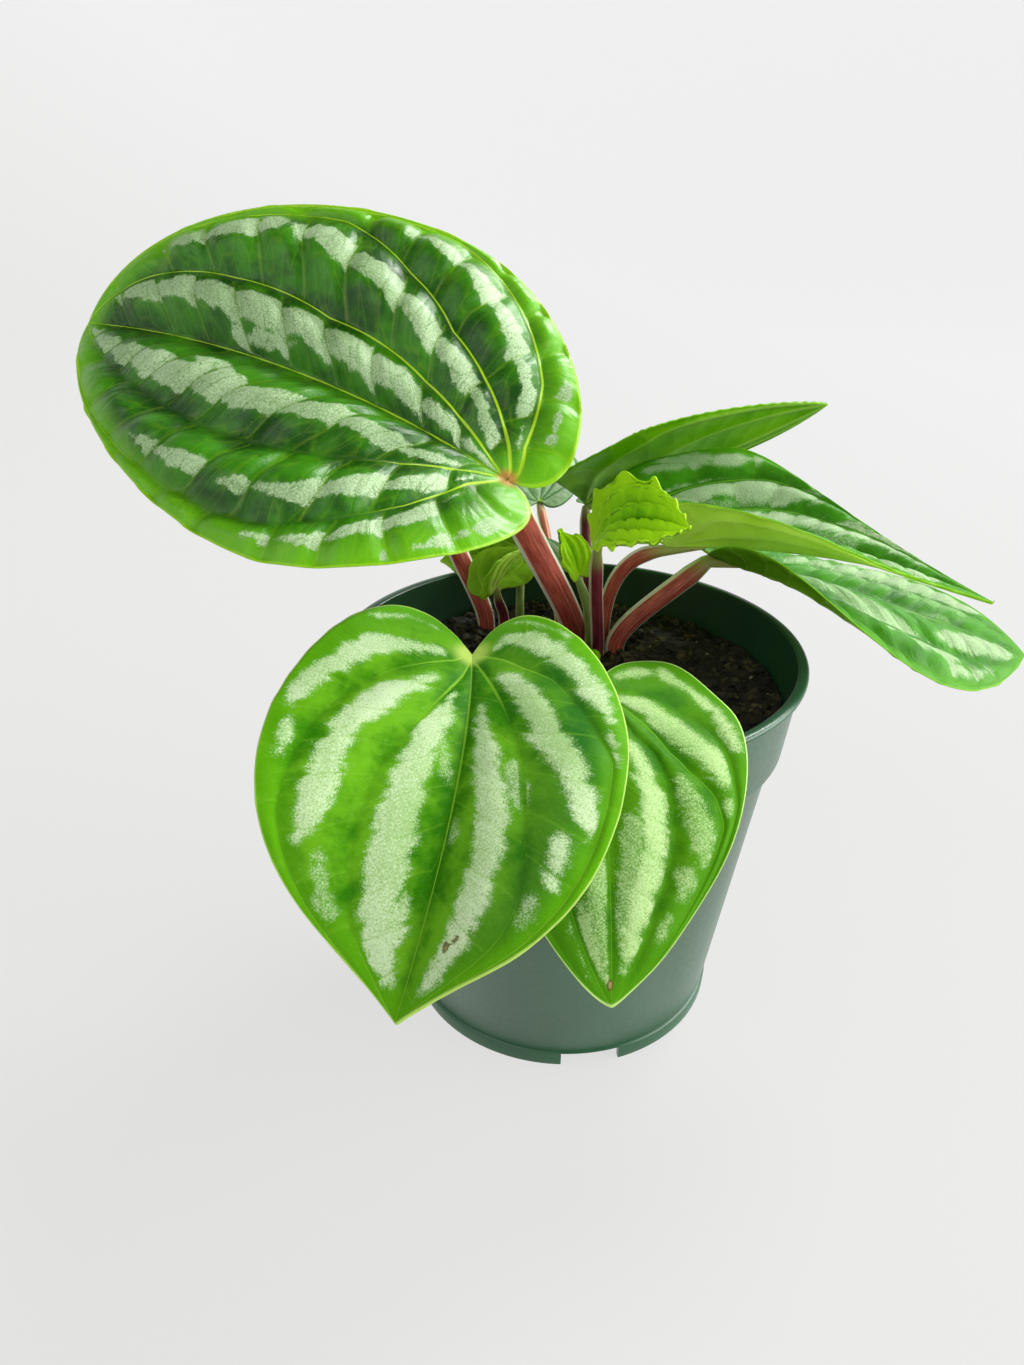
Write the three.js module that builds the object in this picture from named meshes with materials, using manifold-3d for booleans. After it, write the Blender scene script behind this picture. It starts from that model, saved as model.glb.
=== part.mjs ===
// Potted peperomia: heart-shaped, silver-banded leaves on red stalks, in a 4-inch nursery pot.
// Millimetres, +Z up. The plant is laid out round the pot's axis, with the pot's foot at z = 0,
// and the finished group is then moved so that the middle of its footprint is the origin.
import * as THREE from "three";
import { mergeVertices } from "three/addons/utils/BufferGeometryUtils.js";
import Module from "manifold-3d";

const wasm = await Module();
wasm.setup();

// ---------------------------------------------------------------- driving dimensions
const GAP = 0.3; // clearance between pieces that touch on the real plant
const RAD = Math.PI / 180;

const POT = {
  rimRadius: 52, // outside of the rolled rim: the pot is 104 mm across
  height: 90,
  rimWidth: 2.2,
  lip: 1.4, // how far the rim stands out over the collar
  lipHeight: 2,
  collarBottom: 71.8, // the collar is the wider band under the rim
  collarBottomRadius: 48.6,
  shoulder: 1.8, // step from the collar in to the body
  footRadius: 37.3,
  footHeight: 3.7,
  groove: 0.5,
  wall: 1.5,
  notchCount: 4,
  notchWidth: 13.6,
  notchAngle: -77.6 * RAD, // the first notch, just right of the front
  drainRadius: 4,
  drainPlace: 26,
  segments: 60,
};

const SOIL = { top: 80, edgeDrop: 1.4, swell: 0.7, lumps: 0.5, segments: 60 };

const UP = new THREE.Vector3(0, 0, 1);
const ROOT_DEPTH = 9; // how deep a stalk stands in the soil
const STALK_RISE = 6; // how far it is drawn straight up before it leans
const STALK_ROOT = 0.8; // the root end's and the blade end's share of the stalk's thickness
const STALK_END = 0.5;
const STALK_SIDES = 10;
const STALK_STEPS = 9;
const HOLE_RISE = 3; // how far the cut for a stalk's hole runs on above the soil

const BLADE = 0.8; // thickness of a leaf blade
const WIDEST = 0.45; // share of the margin's run from stalk to tip that lies before the widest place
const DRIP = 0.86; // and before the drawn-out tip
const MIDRIB = { steps: 60, hubStep: 20, step: 0.03 }; // a step is a share of the blade's length
const PLEATS = 3; // raised bands between the veins of each half

// A leaf's flat outline and its pose. Lengths in mm, angles in degrees.
// heading: compass bearing of the midrib, 0 towards +Y and 90 towards +X. rise: its slope at the hub.
// droop and swing: how far the midrib turns down and sideways on its way to the tip.
// roll: left half up at the hub; twist adds to it at the tip. fold: each half's slope at the midrib.
// bend: how far each half curves up by its margin. Left is the left hand looking from hub to tip.
// curl: how much further the right half curves up at the hub. drip: length of a drawn-out tip.
// A key with Right after it is the right half's own value.
const LEAF = {
  widest: 0.3,
  sinus: 30, // angle between the backward axis and the margin as it leaves the hub
  lobe: 0.9,
  round: 0.8,
  shoulder: 0.5,
  draw: 0.5,
  tip: 38,
  droopPower: 1,
  swing: 0,
  twist: 0,
  curl: 0,
  drip: 0,
  pleat: 0.9,
  wave: 0,
  waves: 0,
  scallop: 0,
  rows: 16,
  columns: 6, // per half
};

const LEAVES = [
  {
    name: "high_left", hub: [-12.7, -18, 132.2], length: 98, left: 43.7, right: 43.7,
    heading: -75.5, rise: 28.4, droop: 29.4, swing: 7, roll: -28.9, twist: -17.6,
    foldLeft: 19.7, foldRight: 18.2, bendLeft: -22.5, bendRight: -29,
    widest: 0.31, sinus: 14, lobe: 0.4, round: 0.65, shoulder: 0.36, draw: 0.36, tip: 75,
    pleat: 1.5, rows: 18,
    stalk: { foot: [1.4, 22], knee: [-6, 4, 106], base: 3, top: 3 },
  },
  {
    name: "front_left", hub: [-18.1, -34.3, 103.2], length: 70.2, left: 28.6, right: 33.2,
    heading: 174.4, rise: -8.5, droop: 28.2, swing: 20.6, roll: 2.7, twist: 9.4,
    foldLeft: 19.5, foldRight: 19.7, bendLeft: -32.8, bendRight: 2.3,
    widest: 0.41, sinus: 28, lobe: 1.07, round: 0.52, shoulder: 0.66, draw: 0.48, tip: 67, drip: 2,
    shoulderRight: 0.55, rows: 18,
    stalk: { foot: [-6.5, 15.5], knee: [-12, -14, 95], base: 2, top: 1.7 },
  },
  {
    name: "front_right", hub: [5.4, -36.2, 98.9], length: 61.4, left: 27.1, right: 22.7,
    heading: 176, rise: -6.4, droop: 65.5, swing: -1.3, roll: -3.9,
    foldLeft: -10, foldRight: 0, bendLeft: 7.3, bendRight: -13,
    widest: 0.2, sinus: 23, lobe: 0.92, round: 0.84, shoulder: 0.52, draw: 0.08, tip: 80,
    wave: 0.5, waves: 5,
    stalk: { foot: [1.5, 14], knee: [2, -12, 91], base: 1.8, top: 1.5 },
  },
  {
    name: "right_upper", hub: [20.7, 12.7, 109.6], length: 71, left: 33.4, right: 20.3,
    heading: 100.6, rise: 4.9, droop: 25.3, swing: 0.7, roll: 2.2, twist: 10,
    foldLeft: 14.2, foldRight: 48, bendLeft: 13.5, bendRight: 0, droopPower: 1.45,
    widest: 0.16, sinus: 32, lobe: 0.94, round: 0.83, shoulder: 0.2, draw: 0.55, tip: 7,
    sinusRight: 90, lobeRight: 0.4, shoulderRight: 0.5, tipRight: 14,
    stalk: { foot: [8, 20.9], knee: [7.8, 20.5, 104], base: 1.6, top: 1.8 },
  },
  {
    name: "right_lower", hub: [32, 20.3, 105], length: 76.2, left: 27, right: 30,
    heading: 100.4, rise: -9, droop: 12.6, swing: -7.9, roll: -5, twist: 22.5,
    foldLeft: -5.5, foldRight: 3, bendLeft: -12.1, bendRight: -12.2, curl: 75,
    widest: 0.35, sinus: 30, lobe: 0.9, round: 0.79, shoulder: 0.53, draw: 0.53, tip: 65,
    sinusRight: 80, lobeRight: 0.5, pleat: 1.4,
    stalk: { foot: [11, 17.6], knee: [21, 19, 93], base: 2.2, top: 2.4 },
  },
  {
    name: "back_right", hub: [2.7, 52.1, 106.2], length: 64.6, left: 30.3, right: 30.5,
    heading: 86.3, rise: 19.5, droop: -8.9, swing: 3.8, roll: -34, twist: -15.3,
    foldLeft: 21.2, foldRight: 0.6, bendLeft: 0, bendRight: 0,
    widest: 0.26, sinus: 75, lobe: 0.3, round: 0.83, shoulder: 0.18, draw: 0.22, tip: 55,
    sinusRight: 83, lobeRight: 1.1, roundRight: 0.95, pleat: 0.6,
    stalk: { foot: [5, 25.2], knee: [3, 41, 100], base: 1.5, top: 1.5 },
  },
  {
    name: "back_left", hub: [-30.8, 22.9, 115.1], length: 56, left: 25, right: 25,
    heading: -62, rise: 14, droop: 35, roll: -12,
    foldLeft: 8, foldRight: 8, bendLeft: -12, bendRight: -12, wave: 0.6, waves: 4,
    stalk: { foot: [-21, 29], knee: [-28, 27.5, 99], base: 2, top: 2.5 },
  },
  {
    name: "young_folded", hub: [4.2, -1, 113.4], length: 27.8, left: 9.6, right: 6.1,
    heading: 147.7, rise: 49, droop: 53.4, swing: -29.2, roll: 19, twist: -16.4,
    foldLeft: 68.3, foldRight: -24.1, bendLeft: 5.3, bendRight: -4.6,
    widest: 0.45, sinus: 108, lobe: 0.51, tip: 49, pleat: 0.7, scallop: 0.9,
    rows: 34, columns: 4, young: true,
    stalk: { foot: [6.8, 15.6], knee: [5.2, 6, 99], base: 1.6, top: 1.5 },
  },
  {
    name: "back_pale", hub: [-9.1, 63, 103.1], length: 36, left: 16, right: 10,
    heading: 4, rise: 22, droop: 25, roll: 5,
    foldLeft: 6, foldRight: 6, bendLeft: -10, bendRight: -10, columns: 4, rows: 14,
    stalk: { foot: [-2.4, 26.6], knee: [-6, 46, 97], base: 1.2, top: 1.3 },
  },
  {
    name: "inner_left", hub: [-13, 41.4, 95], length: 22, left: 12, right: 12,
    heading: -82, rise: 2, droop: 20, roll: -33,
    foldLeft: 10, foldRight: 10, bendLeft: -10, bendRight: -10,
    pleat: 0.3, scallop: 0.4, rows: 20, columns: 3, young: true,
    stalk: { foot: [-12.8, 33.4], knee: [-13, 38.5, 90], base: 1.1, top: 1, green: true },
  },
  {
    name: "inner_cupped", hub: [-18.8, 19.8, 94.2], length: 13, left: 8, right: 7,
    heading: 60, rise: 62, droop: 25, roll: -10,
    foldLeft: 40, foldRight: 40, bendLeft: 10, bendRight: 10,
    pleat: 0.3, scallop: 0.35, rows: 20, columns: 3, young: true,
    stalk: { foot: [-16.4, 27.6], knee: [-17.4, 24, 87], base: 1.4, top: 1.2 },
  },
  {
    name: "inner_grey", hub: [-2, 27.9, 96.4], length: 13, left: 6, right: 6,
    heading: -70, rise: 40, droop: 15, roll: -15,
    foldLeft: 15, foldRight: 15, bendLeft: -20, bendRight: -20,
    pleat: 0.2, rows: 12, columns: 3,
    stalk: { foot: [1.4, 27.4], knee: [0.4, 27.6, 88], base: 0.9, top: 0.9 },
  },
  {
    name: "inner_tiny", hub: [1.7, 19.6, 99.3], length: 11, left: 5, right: 5,
    heading: -60, rise: 70, droop: 20, roll: -20,
    foldLeft: 30, foldRight: 30, bendLeft: -20, bendRight: -20,
    pleat: 0.2, scallop: 0.35, rows: 16, columns: 3, young: true,
    stalk: { foot: [4.9, 18.6], knee: [4.6, 19, 92], base: 1.1, top: 1.1, green: true },
  },
];

const BUD = { place: [5.8, 10.2], radius: 1.4, height: 4.2, root: 5, frills: 7 };

// ---------------------------------------------------------------- materials
const finish = (color, roughness) => new THREE.MeshStandardMaterial({ color, roughness, metalness: 0 });
const POT_GREEN = finish("#5c7466", 0.35);
const PEAT = finish("#1d1813", 0.95);
const BLADE_GREEN = finish("#3f8a2c", 0.4);
const YOUNG_GREEN = finish("#7fbf10", 0.45);
const STALK_RED = finish("#8f332e", 0.45);
const STALK_GREEN = finish("#8aa54e", 0.5);

// ---------------------------------------------------------------- solids
// A closed geometry whose shared corners are one vertex each.
function welded(geometry) {
  geometry.deleteAttribute("normal");
  geometry.deleteAttribute("uv");
  return mergeVertices(geometry, 1e-4);
}

function toSolid(geometry) {
  const { position } = geometry.attributes;
  return new wasm.Manifold(
    new wasm.Mesh({
      numProp: 3,
      vertProperties: new Float32Array(position.array),
      triVerts: new Uint32Array(geometry.index.array),
    }),
  );
}

function fromSolid(solid) {
  const { numProp, vertProperties, triVerts } = solid.getMesh();
  const place = new Float32Array((vertProperties.length / numProp) * 3);
  for (let i = 0; i < place.length / 3; i++) {
    for (let k = 0; k < 3; k++) place[3 * i + k] = vertProperties[numProp * i + k];
  }
  const geometry = new THREE.BufferGeometry();
  geometry.setAttribute("position", new THREE.BufferAttribute(place, 3));
  geometry.setIndex(new THREE.BufferAttribute(new Uint32Array(triVerts), 1));
  return geometry;
}

function piece(name, geometry, material) {
  geometry.computeVertexNormals();
  const mesh = new THREE.Mesh(geometry, material);
  mesh.name = name;
  return mesh;
}

// A round solid from [radius, z] pairs that start and end on the axis, from the bottom up the outside.
function turned(profile, segments) {
  const geometry = new THREE.LatheGeometry(profile.map(([r, z]) => new THREE.Vector2(r, z)), segments);
  geometry.rotateX(Math.PI / 2);
  return welded(geometry);
}

// ---------------------------------------------------------------- pot
const floorTop = POT.footHeight + POT.wall;
const lipBottom = POT.height - POT.lipHeight;
const collarTopRadius = POT.rimRadius - POT.lip;
const bodyTop = POT.collarBottom - 1.4;
const bodyTopRadius = POT.collarBottomRadius - POT.shoulder;
const innerRim = POT.rimRadius - POT.rimWidth;

// The inside of the wall from the floor's edge to the top, offset inwards by `clear`.
function innerWall(clear) {
  return [
    [POT.footRadius - POT.groove - POT.wall - clear, floorTop],
    [bodyTopRadius - POT.wall - clear, bodyTop],
    [POT.collarBottomRadius - POT.wall - clear, POT.collarBottom + 1],
    [innerRim - 0.4 - clear, lipBottom],
  ];
}

function potSolid() {
  const outside = [
    [0, POT.footHeight],
    [POT.footRadius - POT.wall - 0.4, POT.footHeight],
    [POT.footRadius - POT.wall, 0],
    [POT.footRadius, 0],
    [POT.footRadius + 0.2, POT.footHeight - 0.3],
    [POT.footRadius - POT.groove, POT.footHeight + 0.2],
    [POT.footRadius, POT.footHeight + 1],
    [bodyTopRadius, bodyTop],
    [POT.collarBottomRadius, POT.collarBottom],
    [collarTopRadius, lipBottom],
    [POT.rimRadius - 0.3, lipBottom + 0.3],
    [POT.rimRadius, lipBottom + 0.8],
    [POT.rimRadius, POT.height - 0.6],
    [POT.rimRadius - 0.5, POT.height],
    [innerRim + 0.3, POT.height],
  ];
  const inside = innerWall(0).reverse();
  let pot = toSolid(turned([...outside, ...inside, [0, floorTop]], POT.segments));
  for (let i = 0; i < POT.notchCount; i++) {
    const angle = POT.notchAngle + (i * 2 * Math.PI) / POT.notchCount;
    const notch = new THREE.BoxGeometry(12, POT.notchWidth, 2 * (POT.footHeight - 0.1));
    notch.translate(POT.footRadius, 0, 0);
    notch.rotateZ(angle);
    const drain = new THREE.CylinderGeometry(POT.drainRadius, POT.drainRadius, 6 * POT.wall, 16);
    drain.rotateX(Math.PI / 2);
    drain.translate(Math.cos(angle) * POT.drainPlace, Math.sin(angle) * POT.drainPlace, POT.footHeight);
    pot = pot.subtract(toSolid(welded(notch))).subtract(toSolid(welded(drain)));
  }
  return fromSolid(pot);
}

// ---------------------------------------------------------------- leaf surface
const mix = (a, b, t) => a + (b - a) * t;

function bezier(p, t) {
  const s = 1 - t;
  const weights = [s * s * s, 3 * s * s * t, 3 * s * t * t, t * t * t];
  return [0, 1].map((k) => p.reduce((sum, point, i) => sum + weights[i] * point[k], 0));
}

// How far the drawn-out tip moves a place at run u.
const dripAt = (leaf, u) => leaf.drip * Math.max((u - DRIP) / (1 - DRIP), 0) ** 2;

// The flat margin of one half at run u: x along the midrib, y outwards.
function margin(leaf, isLeft, u) {
  const own = (key) => (isLeft ? leaf[key] : leaf[key + "Right"] ?? leaf[key]);
  const { length, draw } = leaf;
  const half = isLeft ? leaf.left : leaf.right;
  const reach = own("lobe") * half;
  const wide = leaf.widest * length;
  const rest = length - wide;
  const sinus = own("sinus") * RAD;
  const tip = own("tip") * RAD;
  if (u <= WIDEST) {
    const leave = [-reach * Math.cos(sinus), reach * Math.sin(sinus)];
    return bezier([[0, 0], leave, [wide - own("round") * half, half], [wide, half]], u / WIDEST);
  }
  const arrive = [length - draw * rest * Math.cos(tip), draw * rest * Math.sin(tip)];
  const toTip = [[wide, half], [wide + own("shoulder") * rest, half], arrive, [length, 0]];
  const [x, y] = bezier(toTip, (u - WIDEST) / (1 - WIDEST));
  return [x + dripAt(leaf, u), y];
}

// The midrib: places, side directions and up directions at even steps of its length. It runs from
// behind the hub to past the tip, for the lobes and the margins that reach out beyond both.
function midrib(leaf) {
  const { steps, hubStep, step } = MIDRIB;
  const stations = [];
  const at = new THREE.Vector3();
  for (let i = 0; i <= steps; i++) {
    const s = (i - hubStep) * step;
    const run = Math.max(s, 0);
    const slope = (leaf.rise - leaf.droop * run ** leaf.droopPower) * RAD;
    const bearing = (leaf.heading + leaf.swing * run) * RAD;
    const turn = (leaf.roll + leaf.twist * run) * RAD;
    const forward = new THREE.Vector3(
      Math.sin(bearing) * Math.cos(slope),
      Math.cos(bearing) * Math.cos(slope),
      Math.sin(slope),
    );
    const level = new THREE.Vector3(-Math.cos(bearing), Math.sin(bearing), 0);
    const left = level.applyAxisAngle(forward, turn);
    const up = new THREE.Vector3().crossVectors(forward, left);
    if (i > 0) at.addScaledVector(forward.clone().add(stations[i - 1].forward), 0.5 * step * leaf.length);
    stations.push({ at: at.clone(), forward, left, up });
  }
  const shift = new THREE.Vector3(...leaf.hub).sub(stations[hubStep].at);
  stations.forEach((station) => station.at.add(shift));
  return (s) => {
    const f = THREE.MathUtils.clamp(hubStep + s / step, 0, steps - 1e-6);
    const i = Math.floor(f);
    const blend = (key) => stations[i][key].clone().lerp(stations[i + 1][key], f - i);
    return { at: blend("at"), left: blend("left").normalize(), up: blend("up").normalize() };
  };
}

// The blade's two faces at run u (0 at the hub, 1 at the tip) and side w (-1 right, 1 left margin).
function bladeSurface(leaf) {
  const rib = midrib(leaf);
  return (u, w, row) => {
    const half = w >= 0 ? leaf.left : leaf.right;
    const side = Math.sign(w) || 1;
    const out = Math.abs(w);
    const [mx, my] = margin(leaf, w >= 0, u);
    const notch = row % 2 && out === 1 ? Math.min(leaf.scallop, 0.1 * my) : 0;
    const x = mix(leaf.length * u + dripAt(leaf, u), mx, out);
    const y = out * my - notch;
    const run = x / leaf.length;
    const { at, left, up } = rib(run);
    const fold = (w >= 0 ? leaf.foldLeft : leaf.foldRight) * RAD;
    const curl = w >= 0 ? 0 : leaf.curl * (1 - THREE.MathUtils.clamp(run, 0, 1)) ** 2;
    const bend = ((w >= 0 ? leaf.bendLeft : leaf.bendRight) + curl + 0.01) * RAD;
    const k = bend / half;
    const across = (Math.sin(fold + k * y) - Math.sin(fold)) / k;
    let lift = -(Math.cos(fold + k * y) - Math.cos(fold)) / k;
    const inBlade = Math.sin(Math.PI * Math.min(u, 1)) ** 0.7;
    lift += leaf.pleat * inBlade * Math.sin(PLEATS * Math.PI * out) ** 2 * (1 - 0.3 * out);
    lift += leaf.wave * inBlade * out ** 3 * Math.sin(2 * Math.PI * leaf.waves * u + side);
    const top = at.clone().addScaledVector(left, side * across).addScaledVector(up, lift);
    return [top, top.clone().addScaledVector(up, -BLADE)];
  };
}

// A closed thin blade. Both faces are split into triangles alike, so they can't cross.
function bladeSolid(leaf) {
  const surface = bladeSurface(leaf);
  const { rows, columns } = leaf;
  const width = 2 * columns + 1;
  const place = [];
  const faces = [[], []]; // vertex numbers of the top and the bottom, row by row
  const push = (point) => place.push(point.x, point.y, point.z) / 3 - 1;
  for (let i = 0; i <= rows; i++) {
    const u = 0.5 - 0.5 * Math.cos((Math.PI * i) / rows);
    const pole = i === 0 || i === rows;
    const line = [[], []];
    for (let j = 0; j < (pole ? 1 : width); j++) {
      const w = pole ? 0 : (j - columns) / columns;
      surface(pole ? i / rows : u, w, i).forEach((point, face) => line[face].push(push(point)));
    }
    line.forEach((numbers, face) => faces[face].push(numbers));
  }
  const index = [];
  const tri = (face, a, b, c) => (face === 0 ? index.push(a, b, c) : index.push(a, c, b));
  faces.forEach((grid, face) => {
    for (let i = 0; i < rows; i++) {
      const [near, far] = [grid[i], grid[i + 1]];
      for (let j = 0; j < width - 1; j++) {
        if (near.length > 1) tri(face, near[j], far[Math.min(j, far.length - 1)], near[j + 1]);
        if (far.length > 1) tri(face, near[Math.min(j + 1, near.length - 1)], far[j], far[j + 1]);
      }
    }
  });
  for (let i = 0; i < rows; i++) {
    for (const end of [0, 1]) {
      const pick = (face, row) => faces[face][row].at(end ? -1 : 0);
      const [a, b] = end ? [i, i + 1] : [i + 1, i];
      const [topA, topB, lowA, lowB] = [pick(0, a), pick(0, b), pick(1, a), pick(1, b)];
      index.push(topA, topB, lowA, lowA, topB, lowB);
    }
  }
  const geometry = new THREE.BufferGeometry();
  geometry.setAttribute("position", new THREE.BufferAttribute(new Float32Array(place), 3));
  geometry.setIndex(index);
  return geometry;
}

// ---------------------------------------------------------------- stalks
// The stalk's middle line: straight up out of the soil, then bent by way of the knee to the blade's hub.
function stalkLine(leaf) {
  const { foot, knee, top } = leaf.stalk;
  const ground = new THREE.Vector3(foot[0], foot[1], SOIL.top + SOIL.swell + SOIL.lumps);
  const bendAt = new THREE.Vector3(...knee);
  const root = ground.clone().setZ(SOIL.top - ROOT_DEPTH);
  const { at, up } = midrib(leaf)(0);
  const arrive = at.clone().sub(bendAt).normalize();
  const slant = Math.sqrt(Math.max(1 - arrive.dot(up) ** 2, 0));
  const end = at.clone().addScaledVector(up, -(BLADE + 1.3 * GAP + STALK_END * top * slant));
  const line = new THREE.CurvePath();
  line.add(new THREE.LineCurve3(root, ground));
  line.add(new THREE.CubicBezierCurve3(ground, ground.clone().setZ(ground.z + STALK_RISE), bendAt, end));
  return { line, root, atGround: root.distanceTo(ground) / line.getLength() };
}

// A turned, tapered rod bent along the stalk's middle line.
function stalkRod(leaf) {
  const { line, atGround } = stalkLine(leaf);
  const { base, top } = leaf.stalk;
  const profile = [new THREE.Vector2(0, 0), new THREE.Vector2(base * STALK_ROOT, 0)];
  for (let i = 0; i <= STALK_STEPS; i++) {
    const t = mix(atGround, 1, i / STALK_STEPS);
    profile.push(new THREE.Vector2(mix(base, top, t) * (i < STALK_STEPS ? 1 : STALK_END), t));
  }
  profile.push(new THREE.Vector2(0, 1));
  const geometry = welded(new THREE.LatheGeometry(profile, STALK_SIDES));
  const { position } = geometry.attributes;
  for (let i = 0; i < position.count; i++) {
    const t = position.getY(i);
    const turn = new THREE.Quaternion().setFromUnitVectors(UP, line.getTangent(t));
    const offset = new THREE.Vector3(position.getX(i), -position.getZ(i), 0).applyQuaternion(turn);
    const point = line.getPoint(t).add(offset);
    position.setXYZ(i, point.x, point.y, point.z);
  }
  return geometry;
}

// The plain round hole that the stalk stands in, open at the soil's top.
function stalkHole(leaf) {
  const { root } = stalkLine(leaf);
  const length = ROOT_DEPTH + GAP + HOLE_RISE;
  const radius = leaf.stalk.base + GAP + 0.15; // the hole's flats lie inside its round
  const hole = new THREE.CylinderGeometry(radius, radius, length, STALK_SIDES);
  hole.rotateX(Math.PI / 2);
  hole.translate(root.x, root.y, root.z - GAP + length / 2);
  return welded(hole);
}

// ---------------------------------------------------------------- bud and soil
function budRod(fat) {
  const { place, radius, height, root, frills } = BUD;
  const stem = radius * 0.5 + fat;
  const bottom = [[0, -root - fat], [stem, -root - fat], [stem, 0.3]];
  const head = [[radius, 1.4], [radius * 1.15, 2.8], [radius * 0.7, height], [0, height - 0.5]];
  const geometry = turned([...bottom, ...head], 4 * frills);
  const { position } = geometry.attributes;
  for (let i = 0; i < position.count; i++) {
    const [x, y, z] = [position.getX(i), position.getY(i), position.getZ(i)];
    const frill = z > 1 ? 1 + 0.14 * Math.cos(frills * Math.atan2(y, x)) : 1;
    position.setXYZ(i, x * frill + place[0], y * frill + place[1], z + SOIL.top + 0.4);
  }
  return geometry;
}

function soilSolid(holes) {
  const clear = GAP + 0.1;
  const [lower, step, collar, brim] = innerWall(clear);
  const edge = SOIL.top - SOIL.edgeDrop;
  const atEdge = mix(collar[0], brim[0], (edge - collar[1]) / (brim[1] - collar[1]));
  const profile = [[0, floorTop + clear], [lower[0], floorTop + clear], step, collar, [atEdge, edge]];
  for (const share of [0.82, 0.6, 0.38, 0.18, 0]) {
    profile.push([atEdge * share, SOIL.top + SOIL.swell * Math.cos(7 * share) * 0.6]);
  }
  const geometry = turned(profile, SOIL.segments);
  const { position } = geometry.attributes;
  for (let i = 0; i < position.count; i++) {
    const [x, y, z] = [position.getX(i), position.getY(i), position.getZ(i)];
    const inner = Math.hypot(x, y) < atEdge * 0.9 && z > edge;
    if (inner) position.setZ(i, z + SOIL.lumps * Math.sin(0.31 * x + 1) * Math.cos(0.27 * y));
  }
  const bored = holes.reduce((soil, hole) => soil.subtract(toSolid(hole)), toSolid(geometry));
  const crumbs = bored.decompose().sort((a, b) => b.volume() - a.volume());
  return fromSolid(crumbs[0]);
}

// ---------------------------------------------------------------- the plant in its pot
const plant = new THREE.Group();
const leaves = LEAVES.map((leaf) => ({ ...LEAF, ...leaf }));
const holes = [...leaves.map(stalkHole), budRod(GAP)];

plant.add(piece("pot", potSolid(), POT_GREEN));
plant.add(piece("soil", soilSolid(holes), PEAT));
for (const leaf of leaves) {
  plant.add(piece(`blade_${leaf.name}`, bladeSolid(leaf), leaf.young ? YOUNG_GREEN : BLADE_GREEN));
  plant.add(piece(`stalk_${leaf.name}`, stalkRod(leaf), leaf.stalk.green ? STALK_GREEN : STALK_RED));
}
plant.add(piece("bud", budRod(0), YOUNG_GREEN));

const footprint = new THREE.Box3().setFromObject(plant);
const middle = footprint.getCenter(new THREE.Vector3());
plant.position.set(-middle.x, -middle.y, 0);

const group = new THREE.Group();
group.add(plant);

export default group;
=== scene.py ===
"""Potted peperomia: thirteen heart-shaped leaves on ribbed stalks, peat and a moulded nursery pot.

Lengths in the tables are millimetres from the pot's axis and foot, and angles are degrees.
"""
import math
import random
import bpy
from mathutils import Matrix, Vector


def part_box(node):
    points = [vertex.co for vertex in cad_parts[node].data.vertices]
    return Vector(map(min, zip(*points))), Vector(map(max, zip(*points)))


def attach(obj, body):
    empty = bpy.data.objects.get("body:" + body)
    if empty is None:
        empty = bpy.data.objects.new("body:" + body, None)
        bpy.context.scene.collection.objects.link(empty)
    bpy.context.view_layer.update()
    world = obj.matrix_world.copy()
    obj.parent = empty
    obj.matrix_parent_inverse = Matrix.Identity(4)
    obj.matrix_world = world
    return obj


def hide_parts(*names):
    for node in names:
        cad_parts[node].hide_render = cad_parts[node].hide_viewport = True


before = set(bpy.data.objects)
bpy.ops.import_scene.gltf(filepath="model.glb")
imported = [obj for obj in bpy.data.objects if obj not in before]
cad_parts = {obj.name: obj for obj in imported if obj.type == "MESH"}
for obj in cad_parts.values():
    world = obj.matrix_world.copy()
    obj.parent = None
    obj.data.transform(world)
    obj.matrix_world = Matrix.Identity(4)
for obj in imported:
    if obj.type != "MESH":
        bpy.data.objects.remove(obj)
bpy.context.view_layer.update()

from types import SimpleNamespace

import bpy
import numpy as np
from mathutils import Matrix, Vector

MM = 0.001
pot_low, pot_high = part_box("pot")
AXIS = Vector(((pot_low[0] + pot_high[0]) / 2, (pot_low[1] + pot_high[1]) / 2, 0))

# ------------------------------------------------------------------ the leaves
# Places, angles, veins and bands follow the photograph as far as it shows them, and are rounded.
# hub: where the stalk meets the blade. heading: bearing of the midrib, 0 away from the viewer and
# 90 to the right. veins: (run, share of the half's width) from the midrib outwards, per half.
# silver: brush strokes of (run, share, half-width in mm), the share negative on the right half.
# haze: the same, for faint silver. scars: (run, share, size in mm) of small dead spots.
# stalk: its foot on the soil, the place that pulls its curve, and its radius at foot and blade.
EVEN_VEINS = [
    [(0, 0.3), (0.4, 0.36), (0.7, 0.5), (1, 0.66)],
    [(0, 0.42), (0.2, 0.52), (0.4, 0.74), (0.6, 0.87), (1, 0.97)],
]
SHAPE = dict(
    # the margin's outline, which a key ending in Right changes for that half
    widest=0.3, sinus=30, lobe=0.9, round=0.8, shoulder=0.5, draw=0.5, tip=38, drip=0,
    # how the midrib hangs and how the halves lie along it
    droopPower=1, swing=0, twist=0, curl=0, unfold=0,
    # swellings between the veins, a waved margin, sunken cross veins and fine crinkles
    pleat=0.9, wave=0, waves=0, quilt=0.1, spacing=7, crinkle=0,
    # lobed and ruffled margins, and saw teeth
    steps=0, scallop=0, frill=0, teeth=0, serrate=0,
    # the pattern on top, and how far its strokes are broadened in mm
    veinsLeft=EVEN_VEINS, veinsRight=EVEN_VEINS, broaden=0, haze=(), scars=(),
    rows=110, columns=36, seed=1,
)

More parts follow.
